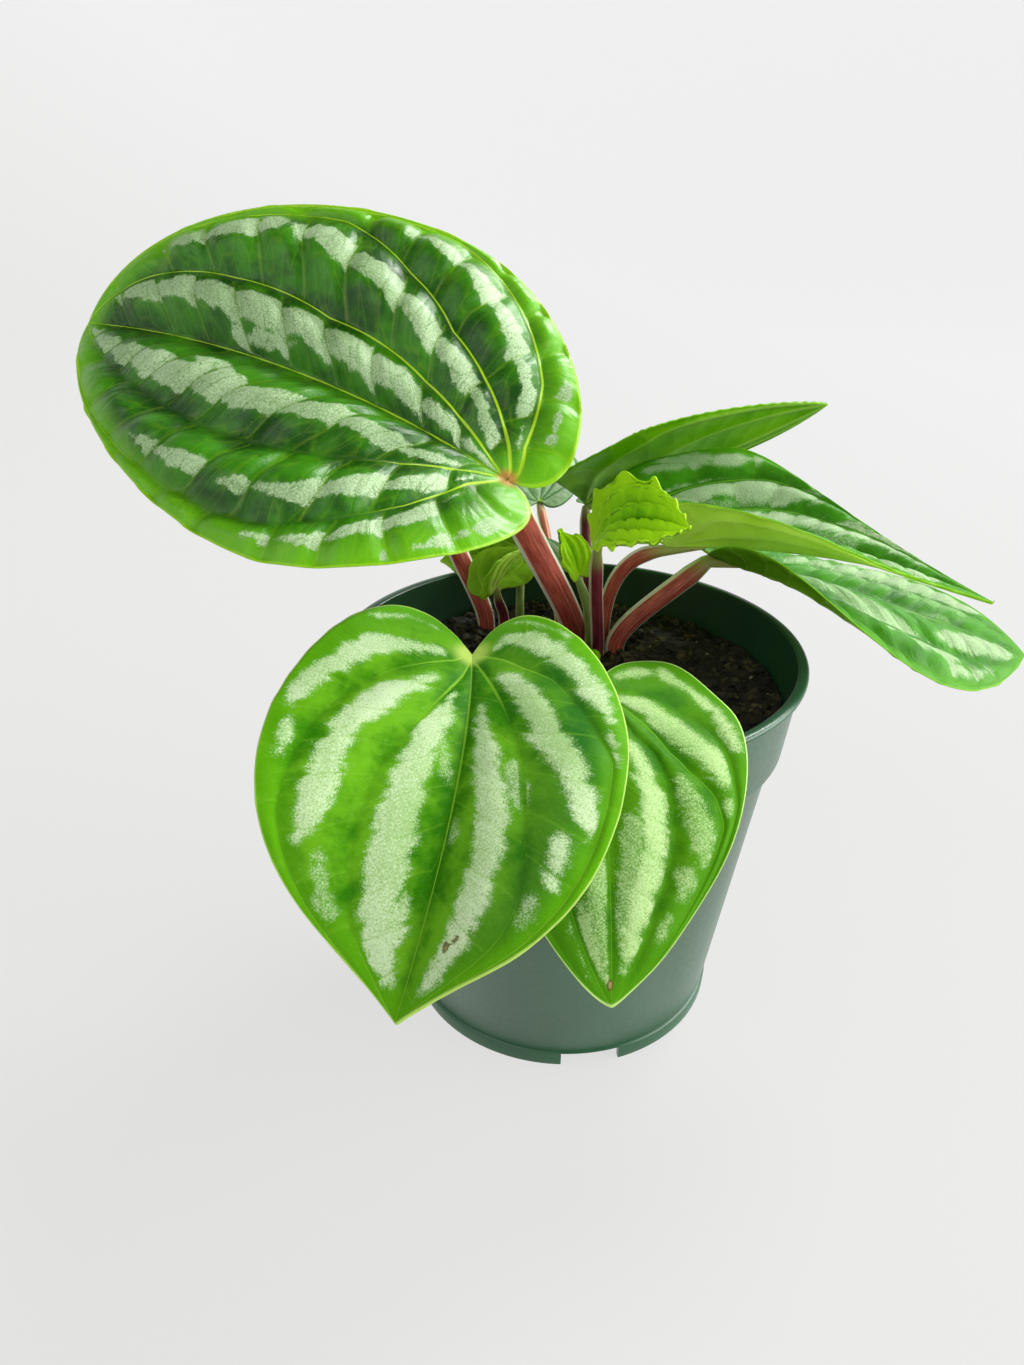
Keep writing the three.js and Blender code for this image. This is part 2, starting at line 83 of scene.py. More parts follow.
LEAVES = {
    "high_left": dict(
        hub=(-12.7, -18, 132.2), length=98, left=43.7, right=43.7,
        heading=-75.5, rise=28.4, droop=29.4, swing=7, roll=-28.9, twist=-17.6,
        foldLeft=19.7, foldRight=18.2, bendLeft=-22.5, bendRight=-29,
        widest=0.31, sinus=5, lobe=0.5, round=0.62, shoulder=0.36, draw=0.36, tip=75,
        broaden=-0.6, pleat=3.6, quilt=1.5, spacing=9.5, rows=220, columns=68, seed=3,
        stalk=dict(foot=(1.4, 22), knee=(-6, 4, 106), base=3, top=3),
        veinsLeft=[
            [(0, 0.3), (0.3, 0.4), (0.57, 0.53), (0.85, 0.57), (1, 0.6)],
            [(0, 0.38), (0.17, 0.5), (0.28, 0.68), (0.46, 0.86), (0.75, 0.95), (1, 0.98)],
        ],
        veinsRight=[
            [(0, 0.3), (0.3, 0.27), (0.5, 0.29), (0.69, 0.43), (0.85, 0.6), (1, 0.7)],
            [(0, 0.45), (0.15, 0.5), (0.36, 0.54), (0.47, 0.67), (0.6, 0.88), (0.8, 0.96), (1, 0.98)],
            [(0, 0.55), (0.15, 0.62), (0.255, 0.8), (0.35, 0.88), (0.474, 0.98), (1, 0.995)],
        ],
        silver=[
            [(0.14, 0.36, 0.9), (0.26, 0.3, 2.4), (0.38, 0.24, 2.8), (0.52, 0.32, 3.4), (0.67, 0.35, 3.6),
             (0.84, 0.4, 2.6), (0.95, 0.45, 1.4)],
            [(0.54, 0.27, 1.2), (0.6, 0.2, 2.0), (0.66, 0.2, 1.2)],
            [(0.16, 0.45, 0.7), (0.26, 0.55, 2.1), (0.34, 0.61, 2.6), (0.41, 0.7, 2.1), (0.54, 0.8, 1.0)],
            [(0.2, 0.6, 0.7), (0.26, 0.74, 2.2), (0.31, 0.81, 2.2), (0.38, 0.9, 1.3), (0.45, 0.93, 0.6)],
            [(0.14, 0.85, 1.4), (0.2, 0.89, 1.7), (0.27, 0.94, 1.0), (0.31, 0.96, 0.7)],
            [(0.69, 0.83, 0.9), (0.6, 0.78, 2.0), (0.53, 0.73, 1.3)],
            [(0.05, -0.12, 0.6), (0.2, -0.17, 2.0), (0.34, -0.15, 3.3), (0.47, -0.17, 3.8),
             (0.59, -0.2, 3.8), (0.76, -0.33, 3.6), (0.9, -0.5, 2.2)],
            [(0.5, -0.09, 1.2), (0.57, -0.06, 1.6), (0.63, -0.06, 1.0)],
            [(0.12, -0.4, 0.9), (0.26, -0.43, 2.6), (0.38, -0.45, 3.0), (0.48, -0.54, 3.6),
             (0.62, -0.74, 3.4)],
            [(0.15, -0.58, 1.0), (0.25, -0.7, 2.0), (0.34, -0.76, 2.6), (0.42, -0.82, 2.3),
             (0.52, -0.9, 1.8)],
            [(0.17, -0.81, 1.3), (0.25, -0.93, 1.3)],
            [(0.68, -0.8, 3.6), (0.75, -0.78, 2.8), (0.82, -0.82, 1.5)],
        ],
    ),
    "front_left": dict(
        hub=(-18.1, -34.3, 103.2), length=70.2, left=28.6, right=33.2,
        heading=174.4, rise=-8.5, droop=28.2, swing=20.6, roll=2.7, twist=9.4,
        foldLeft=19.5, foldRight=19.7, bendLeft=-32.8, bendRight=2.3,
        widest=0.41, sinus=28, lobe=1.07, round=0.52, shoulder=0.66, draw=0.48, tip=67, drip=2,
        shoulderRight=0.55,
        broaden=-0.2, pleat=0.9, quilt=0.15, spacing=8, crinkle=0.12, rows=150, columns=50, seed=5,
        stalk=dict(foot=(-6.5, 15.5), knee=(-12, -14, 95), base=2, top=1.7),
        veinsLeft=[
            [(0, 0.08), (0.12, 0.16), (0.23, 0.23), (0.34, 0.3), (0.43, 0.38), (0.51, 0.44), (0.58, 0.52),
             (0.65, 0.6), (0.71, 0.69), (0.79, 0.78), (1, 0.9)],
            [(0, 0.2), (0.12, 0.33), (0.23, 0.49), (0.29, 0.64), (0.36, 0.75), (0.41, 0.83), (0.46, 0.91),
             (1, 0.98)],
        ],
        veinsRight=[
            [(0, 0.06), (0.14, 0.12), (0.3, 0.24), (0.4, 0.34), (0.48, 0.41), (0.57, 0.47), (0.65, 0.51),
             (0.74, 0.56), (0.82, 0.65), (1, 0.8)],
            [(0, 0.18), (0.12, 0.27), (0.21, 0.43), (0.29, 0.59), (0.35, 0.69), (0.4, 0.75), (0.46, 0.81),
             (0.6, 0.9), (1, 0.98)],
        ],
        silver=[
            [(0.22, -0.13, 0.8), (0.3, -0.16, 2.2), (0.38, -0.2, 2.7), (0.46, -0.22, 3.1),
             (0.53, -0.24, 3.3), (0.59, -0.25, 3.6), (0.66, -0.28, 3.8), (0.72, -0.31, 3.6),
             (0.78, -0.38, 2.7), (0.84, -0.42, 2.3), (0.89, -0.44, 1.9), (0.93, -0.45, 0.9)],
            [(0.75, -0.18, 0.6), (0.8, -0.21, 1.2), (0.85, -0.28, 1.2)],
            [(0.22, -0.3, 0.9), (0.27, -0.37, 1.6), (0.32, -0.48, 2.2), (0.37, -0.56, 2.6),
             (0.41, -0.61, 2.2), (0.46, -0.64, 2.8), (0.52, -0.66, 3.0), (0.57, -0.69, 2.8),
             (0.62, -0.74, 2.1), (0.65, -0.81, 0.8)],
            [(0.14, -0.4, 0.9), (0.18, -0.51, 1.6), (0.23, -0.68, 2.3), (0.27, -0.76, 2.5),
             (0.32, -0.82, 2.2), (0.35, -0.88, 1.9), (0.38, -0.9, 1.9), (0.4, -0.92, 1.0)],
            [(0.09, -0.73, 0.5), (0.14, -0.85, 0.8), (0.2, -0.92, 0.6)],
            [(0.44, -0.88, 1.0), (0.47, -0.88, 1.4), (0.49, -0.89, 0.8)],
            [(0.78, -0.83, 0.7), (0.79, -0.86, 0.5)],
            [(0.25, 0.11, 0.6), (0.32, 0.12, 1.5), (0.4, 0.16, 2.1), (0.47, 0.2, 2.4), (0.54, 0.27, 2.6),
             (0.58, 0.31, 2.7), (0.63, 0.34, 2.6), (0.69, 0.37, 2.5), (0.75, 0.39, 2.4), (0.8, 0.46, 1.9),
             (0.87, 0.52, 1.4), (0.91, 0.56, 1.1), (0.94, 0.64, 0.5)],
            [(0.2, 0.31, 0.6), (0.25, 0.37, 2.1), (0.32, 0.46, 2.6), (0.38, 0.53, 2.9), (0.43, 0.61, 2.9),
             (0.47, 0.7, 2.6), (0.5, 0.77, 2.2), (0.54, 0.83, 1.6), (0.56, 0.88, 0.6)],
            [(0.11, 0.45, 0.8), (0.13, 0.58, 1.7), (0.18, 0.69, 2.4), (0.24, 0.75, 2.6), (0.29, 0.8, 2.4),
             (0.33, 0.85, 2.4), (0.36, 0.89, 1.7), (0.39, 0.9, 0.6)],
            [(0.1, 0.86, 0.4), (0.16, 0.9, 0.5), (0.22, 0.93, 0.4)],
            [(0.41, 0.9, 0.8), (0.44, 0.92, 0.9), (0.46, 0.94, 0.8)],
            [(0.59, 0.75, 1.2), (0.62, 0.78, 1.6), (0.65, 0.82, 1.0)],
        ],
        haze=[
            [(0.69, -0.69, 1.2), (0.72, -0.74, 1.4), (0.8, -0.78, 1.1)],
            [(0.37, -0.11, 0.9), (0.44, -0.07, 1.2), (0.47, -0.05, 0.8)],
            [(0.57, 0.02, 1.2), (0.61, 0.06, 1.1)],
            [(0.46, 0.34, 1.4), (0.5, 0.4, 1.7), (0.53, 0.46, 0.8)],
            [(0.7, 0.77, 1.2), (0.73, 0.83, 1.1)],
        ],
        scars=[(0.84, 0.42, 0.9), (0.814, 0.46, 0.8)],
    ),
    "front_right": dict(
        hub=(5.4, -36.2, 98.9), length=61.4, left=27.1, right=22.7,
        heading=176, rise=-6.4, droop=65.5, swing=-1.3, roll=-3.9,
        foldLeft=-10, foldRight=0, bendLeft=7.3, bendRight=-13,
        widest=0.2, sinus=23, lobe=0.92, round=0.84, shoulder=0.52, draw=0.08, tip=80,
        wave=0.5, waves=5, pleat=0.9, quilt=0.1, spacing=7, rows=130, columns=42, seed=9,
        stalk=dict(foot=(1.5, 14), knee=(2, -12, 91), base=1.8, top=1.5),
        veinsLeft=[
            [(0, 0.08), (0.2, 0.2), (0.31, 0.26), (0.39, 0.36), (0.46, 0.42), (0.53, 0.46), (0.61, 0.51),
             (0.74, 0.54), (0.82, 0.59), (1, 0.75)],
            [(0, 0.12), (0.2, 0.28), (0.28, 0.35), (0.4, 0.46), (0.46, 0.58), (0.52, 0.76), (0.58, 0.88),
             (1, 0.95)],
            [(0, 0.3), (0.16, 0.45), (0.25, 0.59), (0.34, 0.66), (0.4, 0.77), (0.45, 0.85), (0.55, 0.95),
             (1, 0.99)],
        ],
        silver=[
            [(0.11, 0.61, 0.7), (0.16, 0.75, 1.3), (0.22, 0.81, 1.6), (0.27, 0.83, 1.6), (0.31, 0.85, 1.3),
             (0.36, 0.87, 0.8)],
            [(0.39, 0.88, 1.1), (0.42, 0.9, 1.1), (0.45, 0.92, 0.6)],
            [(0.19, 0.34, 1.1), (0.26, 0.45, 2.1), (0.33, 0.51, 2.6), (0.39, 0.59, 2.7), (0.43, 0.68, 2.7),
             (0.47, 0.78, 2.4), (0.5, 0.84, 1.2)],
            [(0.54, 0.87, 1.1), (0.55, 0.88, 1.0)],
            [(0.34, 0.23, 0.7), (0.41, 0.26, 1.6), (0.48, 0.31, 2.0), (0.55, 0.33, 1.8), (0.6, 0.35, 1.9),
             (0.67, 0.34, 2.2), (0.73, 0.32, 2.0), (0.79, 0.34, 1.7), (0.84, 0.38, 1.1), (0.87, 0.45, 0.4)],
            [(0.72, -0.4, 0.8), (0.76, -0.41, 1.5), (0.8, -0.44, 1.5), (0.85, -0.43, 1.1),
             (0.9, -0.32, 0.8)],
            [(0.2, -0.45, 1.4), (0.4, -0.6, 2.6), (0.55, -0.7, 1.2)],
        ],
        haze=[
            [(0.47, 0.51, 1.2), (0.52, 0.6, 2.4), (0.57, 0.68, 2.6), (0.61, 0.75, 2.1), (0.64, 0.83, 0.8)],
            [(0.66, 0.67, 1.6), (0.69, 0.74, 1.5)],
            [(0.74, 0.71, 0.8), (0.78, 0.76, 1.0)],
            [(0.53, 0.17, 1.7), (0.62, 0.19, 2.2), (0.71, 0.21, 2.2), (0.8, 0.28, 2.0)],
            [(0.63, -0.08, 1.2), (0.69, -0.15, 1.7), (0.75, -0.25, 2.2), (0.82, -0.32, 2.0)],
        ],
        scars=[(0.93, -0.12, 0.9)],
    ),
    "right_upper": dict(
        hub=(20.7, 12.7, 109.6), length=71, left=33.4, right=20.3,
        heading=100.6, rise=4.9, droop=25.3, swing=0.7, roll=2.2, twist=10,
        foldLeft=14.2, foldRight=48, bendLeft=13.5, bendRight=0, droopPower=1.45,
        widest=0.16, sinus=32, lobe=0.94, round=0.83, shoulder=0.2, draw=0.55, tip=7,
        sinusRight=90, lobeRight=0.4, shoulderRight=0.5, tipRight=14,
        unfold=0.85, pleat=1.5, quilt=0.6, spacing=6, rows=130, columns=42, seed=12,
        stalk=dict(foot=(8, 20.9), knee=(7.8, 20.5, 104), base=1.6, top=1.8),
        veinsLeft=[
            [(0, 0.34), (0.24, 0.42), (0.45, 0.38), (0.63, 0.36), (1, 0.6)],
            [(0, 0.5), (0.26, 0.66), (0.46, 0.68), (0.6, 0.7), (0.8, 0.85), (1, 0.97)],
        ],
        silver=[
            [(0.3, 0.9, 1.6), (0.34, 0.9, 2.8), (0.38, 0.88, 3.0), (0.4, 0.88, 1.8)],
            [(0.42, 0.84, 2.0), (0.45, 0.84, 1.9), (0.5, 0.87, 1.2)],
            [(0.28, 0.62, 2.8), (0.33, 0.6, 3.6), (0.38, 0.6, 3.2), (0.42, 0.57, 3.4), (0.46, 0.52, 3.9),
             (0.54, 0.56, 3.2), (0.61, 0.61, 1.9)],
            [(0.34, 0.33, 1.3), (0.39, 0.28, 2.1), (0.44, 0.26, 2.8), (0.51, 0.25, 2.8), (0.59, 0.27, 2.6),
             (0.67, 0.33, 2.3), (0.76, 0.42, 1.8), (0.86, 0.5, 1.3)],
            [(0.55, -0.3, 1.3), (0.65, -0.4, 2.0), (0.75, -0.45, 2.0), (0.85, -0.4, 1.2)],
        ],
        haze=[
            [(0.2, 0.4, 1.6), (0.3, 0.42, 2.2), (0.4, 0.4, 2.2)],
            [(0.3, 0.1, 1.2), (0.45, 0.1, 2.0), (0.6, 0.12, 2.0)],
        ],
    ),
    "right_lower": dict(
        hub=(32, 20.3, 105), length=76.2, left=27, right=30,
        heading=100.4, rise=-9, droop=12.6, swing=-7.9, roll=-5, twist=22.5,
        foldLeft=-5.5, foldRight=3, bendLeft=-12.1, bendRight=-12.2, curl=75,
        widest=0.35, sinus=30, lobe=0.9, round=0.79, shoulder=0.53, draw=0.53, tip=65,
        sinusRight=80, lobeRight=0.5, pleat=1.7, quilt=0.7, spacing=6, rows=140, columns=46, seed=15,
        stalk=dict(foot=(11, 17.6), knee=(21, 19, 93), base=2.2, top=2.4),
        silver=[
            [(0.36, 0.93, 1.0), (0.43, 0.94, 1.6), (0.5, 0.94, 1.8), (0.57, 0.93, 1.6), (0.65, 0.9, 0.9)],
            [(0.33, 0.42, 1.0), (0.39, 0.5, 1.5), (0.44, 0.5, 1.9), (0.51, 0.54, 2.3), (0.57, 0.6, 2.7),
             (0.64, 0.6, 2.9), (0.71, 0.64, 2.8), (0.79, 0.67, 2.5), (0.85, 0.81, 1.4)],
            [(0.29, -0.14, 1.0), (0.36, -0.21, 1.8), (0.43, -0.23, 2.4), (0.48, -0.32, 2.8),
             (0.53, -0.38, 3.3), (0.58, -0.46, 3.2), (0.63, -0.54, 2.8), (0.68, -0.6, 2.4),
             (0.72, -0.64, 1.2)],
            [(0.69, -0.34, 1.4), (0.76, -0.33, 2.6), (0.83, -0.28, 3.0), (0.9, -0.3, 2.5),
             (0.93, -0.36, 1.0)],
            [(0.7, -0.77, 0.8), (0.76, -0.81, 1.0), (0.83, -0.75, 1.0)],
        ],
        haze=[
            [(0.36, 0.2, 1.4), (0.46, 0.24, 2.4), (0.56, 0.26, 3.0), (0.66, 0.3, 3.2), (0.78, 0.36, 2.4)],
            [(0.4, 0.0, 1.0), (0.5, -0.02, 2.0), (0.62, -0.06, 2.2), (0.72, 0.02, 2.0)],
        ],
    ),
    "back_right": dict(
        hub=(2.7, 52.1, 106.2), length=64.6, left=30.3, right=30.5,
        heading=86.3, rise=19.5, droop=-8.9, swing=3.8, roll=-34, twist=-15.3,
        foldLeft=21.2, foldRight=0.6, bendLeft=0, bendRight=0,
        widest=0.26, sinus=75, lobe=0.3, round=0.83, shoulder=0.18, draw=0.22, tip=55,
        sinusRight=83, lobeRight=1.1, roundRight=0.95, pleat=0.6, quilt=0.2, spacing=6,
        serrate=0.5, teeth=34, rows=150, columns=32, seed=18,
        stalk=dict(foot=(5, 25.2), knee=(3, 41, 100), base=1.5, top=1.5),
    ),
    "back_left": dict(
        hub=(-30.8, 22.9, 115.1), length=56, left=25, right=25,
        heading=-62, rise=14, droop=35, roll=-12,
        foldLeft=8, foldRight=8, bendLeft=-12, bendRight=-12, wave=0.6, waves=4,
        pleat=1.0, quilt=0.25, rows=100, columns=36, seed=21,
        stalk=dict(foot=(-21, 29), knee=(-28, 27.5, 99), base=2, top=2.5),
    ),
    "young_folded": dict(
        hub=(4.2, -1, 113.4), length=27.8, left=9.6, right=6.1,
        heading=147.7, rise=49, droop=53.4, swing=-29.2, roll=19, twist=-16.4,
        foldLeft=68.3, foldRight=-24.1, bendLeft=5.3, bendRight=-4.6, widest=0.45, sinus=108, lobe=0.51,
        tip=49, pleat=1.7, scallop=1.3, frill=0.8, steps=34, quilt=0.7, spacing=3.2, crinkle=0.4,
        rows=180, columns=34, seed=24,
        stalk=dict(foot=(6.8, 15.6), knee=(5.2, 6, 99), base=1.6, top=1.5),
    ),
    "back_pale": dict(
        hub=(-9.1, 63, 103.1), length=36, left=16, right=10,
        heading=4, rise=22, droop=25, roll=5,
        foldLeft=6, foldRight=6, bendLeft=-10, bendRight=-10, quilt=0.15, spacing=5,
        rows=80, columns=28, seed=27,
        stalk=dict(foot=(-2.4, 26.6), knee=(-6, 46, 97), base=1.2, top=1.3),
    ),
    "inner_left": dict(
        hub=(-13, 41.4, 95), length=22, left=12, right=12,
        heading=-82, rise=2, droop=20, roll=-33,
        foldLeft=10, foldRight=10, bendLeft=-10, bendRight=-10,
        pleat=0.4, scallop=0.4, steps=20, quilt=0.2, spacing=3.5, crinkle=0.25,
        rows=120, columns=26, seed=30,
        stalk=dict(foot=(-12.8, 33.4), knee=(-13, 38.5, 90), base=1.1, top=1),
    ),
    "inner_cupped": dict(
        hub=(-18.8, 19.8, 94.2), length=13, left=8, right=7,
        heading=60, rise=62, droop=25, roll=-10,
        foldLeft=40, foldRight=40, bendLeft=10, bendRight=10,
        pleat=0.4, scallop=0.35, steps=20, quilt=0.2, spacing=2.6, crinkle=0.3,
        rows=100, columns=24, seed=33,
        stalk=dict(foot=(-16.4, 27.6), knee=(-17.4, 24, 87), base=1.4, top=1.2),
    ),
    "inner_grey": dict(
        hub=(-2, 27.9, 96.4), length=13, left=6, right=6,
        heading=-70, rise=40, droop=15, roll=-15,
        foldLeft=15, foldRight=15, bendLeft=-20, bendRight=-20,
        pleat=0.25, spacing=3, rows=60, columns=20, seed=36,
        stalk=dict(foot=(1.4, 27.4), knee=(0.4, 27.6, 88), base=0.9, top=0.9),
    ),
    "inner_tiny": dict(
        hub=(1.7, 19.6, 99.3), length=11, left=5, right=5,
        heading=-60, rise=70, droop=20, roll=-20,
        foldLeft=30, foldRight=30, bendLeft=-20, bendRight=-20,
        pleat=0.6, scallop=0.5, frill=0.7, steps=14, spacing=2.4, crinkle=0.4,
        rows=90, columns=20, seed=39,
        stalk=dict(foot=(4.9, 18.6), knee=(4.6, 19, 92), base=1.1, top=1.1),
    ),
}

BLADE = 1.04         # thickness of which a blade keeps
IN_BETWEEN = 0.42    # this share between its veins,
ALONG_VEIN = 0.4     # this much more along a vein
OFF_MARGIN = 0.2     # and this much less at the margin

WIDEST_RUN = 0.45    # share of the margin's run before the widest place
DRIP_RUN = 0.86      # and before the drawn-out tip
FULL_PILLOW = 0.28   # share of a half that a swelling has to span to rise to its full height
VEIN_FURROW, VEIN_FURROW_HALF = 0.15, 0.6    # depth and half-width of the furrow along a vein
CROSS_SLANT = 0.8    # lean of a cross vein towards the tip, as a share of the band's width
CROSS_WANDER, WANDER_SIZE = 0.9, 16          # how far it strays, over what length
CROSS_FURROW = 0.13  # half-width of its furrow, as a share of the spacing
CRINKLE_SIZE = 5
LOBE_DRIFT, LOBE_SPREAD = 0.6, 0.2           # how far the lobes are from even, over what share

MIDRIB_STEP = 0.006  # share of the length between two stations of the midrib's line
HUB_STATION = 100    # stations before the hub
RUN_ON = 12          # points of a stalk along the underside of the midrib, two stations apart

SOIL_TOP = 80
ROOT_DEPTH = 9
GROUND = 81.2        # where a stalk stops running straight up
STALK_RISE = 6
STALK_END = 0.02     # share of a stalk's rows that close each of its ends


# ------------------------------------------------------------------ making meshes
def deselect():
    if bpy.context.mode != "OBJECT":
        bpy.ops.object.mode_set(mode="OBJECT")
    bpy.ops.object.select_all(action="DESELECT")


def take(name):
    """The primitive just added, named, with its place moved into its mesh."""
    piece = bpy.context.object
    piece.name = piece.data.name = name
    bpy.ops.object.transform_apply(location=True, rotation=True, scale=True)
    return piece


def apply(piece, kind, **settings):
    deselect()
    bpy.context.view_layer.objects.active = piece
    piece.select_set(True)
    modifier = piece.modifiers.new(kind.lower(), kind)
    for key, value in settings.items():
        setattr(modifier, key, value)
    bpy.ops.object.modifier_apply(modifier=modifier.name)


def weld(piece, distance=1e-6, outward=False):
    deselect()
    bpy.context.view_layer.objects.active = piece
    piece.select_set(True)
    bpy.ops.object.mode_set(mode="EDIT")
    bpy.ops.mesh.select_all(action="SELECT")
    bpy.ops.mesh.remove_doubles(threshold=distance)
    if outward:
        bpy.ops.mesh.normals_make_consistent(inside=False)
    bpy.ops.object.mode_set(mode="OBJECT")


def smooth(piece, angle=None):
    deselect()
    bpy.context.view_layer.objects.active = piece
    piece.select_set(True)
    if angle is None:
        bpy.ops.object.shade_smooth()
    else:
        bpy.ops.object.shade_smooth_by_angle(angle=math.radians(angle))


def places(mesh):
    flat = np.empty(3 * len(mesh.vertices))
    mesh.vertices.foreach_get("co", flat)
    return flat.reshape(-1, 3)


def set_places(mesh, points):
    mesh.vertices.foreach_set("co", np.ascontiguousarray(points, dtype=float).ravel())
    mesh.update()


def mark(mesh, name, values):
    """A number at each vertex, for a material to read."""
    numbers = np.asarray(values, dtype=np.float32)
    mesh.attributes.new(name, "FLOAT", "POINT").data.foreach_set("value", numbers)


def grid(name, across, along):
    """A flat grid whose vertices come back as (across, along), each from 0 to 1."""
    deselect()
    bpy.ops.mesh.primitive_grid_add(x_subdivisions=across, y_subdivisions=along, size=2)
    piece = take(name)
    at = places(piece.data)
    return piece, (at[:, 0] + 1) / 2, (at[:, 1] + 1) / 2


def in_frame(points):
    """Millimetres from the pot's axis to metres in the frame."""
    return np.asarray(points) * MM + np.array(AXIS)


def finish_piece(piece, node_name):
    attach(piece, "root")
    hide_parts(node_name)


# ------------------------------------------------------------------ the leaf's surface
def bezier(points, t):
    s = 1 - t
    weights = (s**3, 3 * s * s * t, 3 * s * t * t, t**3)
    return [sum(weight * point[k] for weight, point in zip(weights, points)) for k in (0, 1)]


def tip_drip(leaf, u):
    return leaf["drip"] * np.clip((u - DRIP_RUN) / (1 - DRIP_RUN), 0, 1) ** 2


def margin(leaf, side, u):
    """The flat margin of one half: along the midrib and outwards."""
    half, length = leaf[side], leaf["length"]
    own = {key[:-5]: value for key, value in leaf.items() if key.endswith("Right") and side == "right"}
    leaf = {**leaf, **own}
    lobe, sinus, tip = leaf["lobe"], math.radians(leaf["sinus"]), math.radians(leaf["tip"])
    wide = leaf["widest"] * length
    rest = length - wide
    back = (-lobe * half * math.cos(sinus), lobe * half * math.sin(sinus))
    first = bezier([(0, 0), back, (wide - leaf["round"] * half, half), (wide, half)],
                   np.minimum(u / WIDEST_RUN, 1))
    arrive = (length - leaf["draw"] * rest * math.cos(tip), leaf["draw"] * rest * math.sin(tip))
    last = bezier([(wide, half), (wide + leaf["shoulder"] * rest, half), arrive, (length, 0)],
                  np.clip((u - WIDEST_RUN) / (1 - WIDEST_RUN), 0, 1))
    near = u <= WIDEST_RUN
    along = np.where(near, first[0], last[0]) + tip_drip(leaf, u)
    return along, np.where(near, first[1], last[1])


def midrib(leaf):
    """The midrib's line as shares of the length, places, and the ways to the left and up."""
    s = np.arange(-HUB_STATION, 2 * HUB_STATION + 1) * MIDRIB_STEP
    run = np.maximum(s, 0)
    slope = np.radians(leaf["rise"] - leaf["droop"] * run ** leaf["droopPower"])
    bearing = np.radians(leaf["heading"] + leaf["swing"] * run)
    turn = np.radians(leaf["roll"] + leaf["twist"] * run)[:, None]
    east, north = np.sin(bearing), np.cos(bearing)
    forward = np.stack([east * np.cos(slope), north * np.cos(slope), np.sin(slope)], 1)
    level = np.stack([-north, east, 0 * bearing], 1)
    left = level * np.cos(turn) + np.cross(forward, level) * np.sin(turn)
    up = np.cross(forward, left)
    at = np.zeros_like(forward)
    at[1:] = np.cumsum((forward[1:] + forward[:-1]) * 0.5 * MIDRIB_STEP * leaf["length"], 0)
    at += np.array(leaf["hub"]) - at[HUB_STATION]
    return s, at, left, up


def follow(s, at, values):
    """Rows of three numbers, known at the stations s, read off at the places `at` between them."""
    return np.stack([np.interp(at, s, values[:, k]) for k in range(3)], -1)


def vein_shares(leaf, side, u):
    """Each vein's share of the half's width at run u, from the midrib to the margin."""
    veins = leaf["veinsLeft" if side == "left" else "veinsRight"]
    inner = [np.interp(u, *zip(*vein)) for vein in veins]
    return np.stack([np.zeros_like(u), *inner, np.ones_like(u)])


def stroke_depth(leaf, x, y, strokes):
    """How far each point lies inside the nearest brush stroke, in mm (negative outside)."""
    best = np.full_like(x, -9.0)
    for stroke in strokes:
        flat = [outline(leaf, run, share) for run, share, _ in stroke]
        wide = [half_width for _, _, half_width in stroke]
        for a, b, wide_a, wide_b in zip(flat, flat[1:], wide, wide[1:]):
            dx, dy = b[0] - a[0], b[1] - a[1]
            t = np.clip(((x - a[0]) * dx + (y - a[1]) * dy) / (dx * dx + dy * dy + 1e-9), 0, 1)
            off = np.hypot(x - a[0] - t * dx, y - a[1] - t * dy)
            best = np.maximum(best, wide_a + (wide_b - wide_a) * t - off)
    return best


def ripple(x, y, scale, seed):
    """Smooth random waves about as long as `scale`, their height mostly between -1 and 1."""
    rng = np.random.default_rng(seed)
    total = np.zeros_like(x)
    for _ in range(7):
        angle, phase = rng.uniform(0, math.tau, 2)
        size = scale * rng.uniform(0.7, 1.5)
        total += np.sin((x * math.cos(angle) + y * math.sin(angle)) * math.tau / size + phase)
    return total / 4


def lay_out(leaf, u, t):
    """The place of each point (run u, column t) among the veins of its half.

    share: of the half's width. local: 0 to 1 between two veins, and band: which two. gap: their
    distance. vein: how far the nearest one is. mx, my: the margin beside the point.
    """
    place = {key: np.zeros_like(u) for key in ("share", "local", "band", "gap", "vein", "mx", "my")}
    for side, here in (("left", t >= 0), ("right", t < 0)):
        run, out = u[here], np.abs(t[here])
        mx, my = margin(leaf, side, run)
        rows = vein_shares(leaf, side, run)
        count = len(rows) - 1
        band = np.minimum((out * count).astype(int), count - 1)
        local = out * count - band
        pick = np.arange(len(run))
        lower, upper = rows[band, pick], rows[band + 1, pick]
        share = lower + (upper - lower) * local
        reach = np.hypot(my, np.minimum(mx, 0))
        vein = (np.abs(rows[:-1] - share) * np.maximum(reach, 0.05)).min(0)
        found = (share, local, band, (upper - lower) * reach, vein, mx, my)
        for key, values in zip(place, found):
            place[key][here] = values
    return SimpleNamespace(**place)


def margin_cut(leaf, u, sign, at):
    """How far a lobed or toothed margin is cut in, and how far it ruffles up and down."""
    cut_in, ruffle = np.zeros_like(u), np.zeros_like(u)
    deepest = 0.1 * at.my
    if leaf["steps"]:
        row = np.arccos(np.clip(1 - 2 * u, -1, 1)) / math.pi * leaf["steps"]
        row += LOBE_DRIFT * ripple(u, sign, LOBE_SPREAD, leaf["seed"])
        lobes = 1 - np.abs(np.sin(math.pi * row / 2))
        cut_in = np.minimum(leaf["scallop"], deepest) * lobes * at.share**6
        ruffle = leaf["frill"] * np.sin(math.pi * row / 2) * at.share**5
    if leaf["teeth"]:
        row = u * leaf["teeth"]
        cut_in = np.minimum(leaf["serrate"], deepest) * np.abs(np.sin(math.pi * row)) * at.share**8
    return cut_in, ruffle


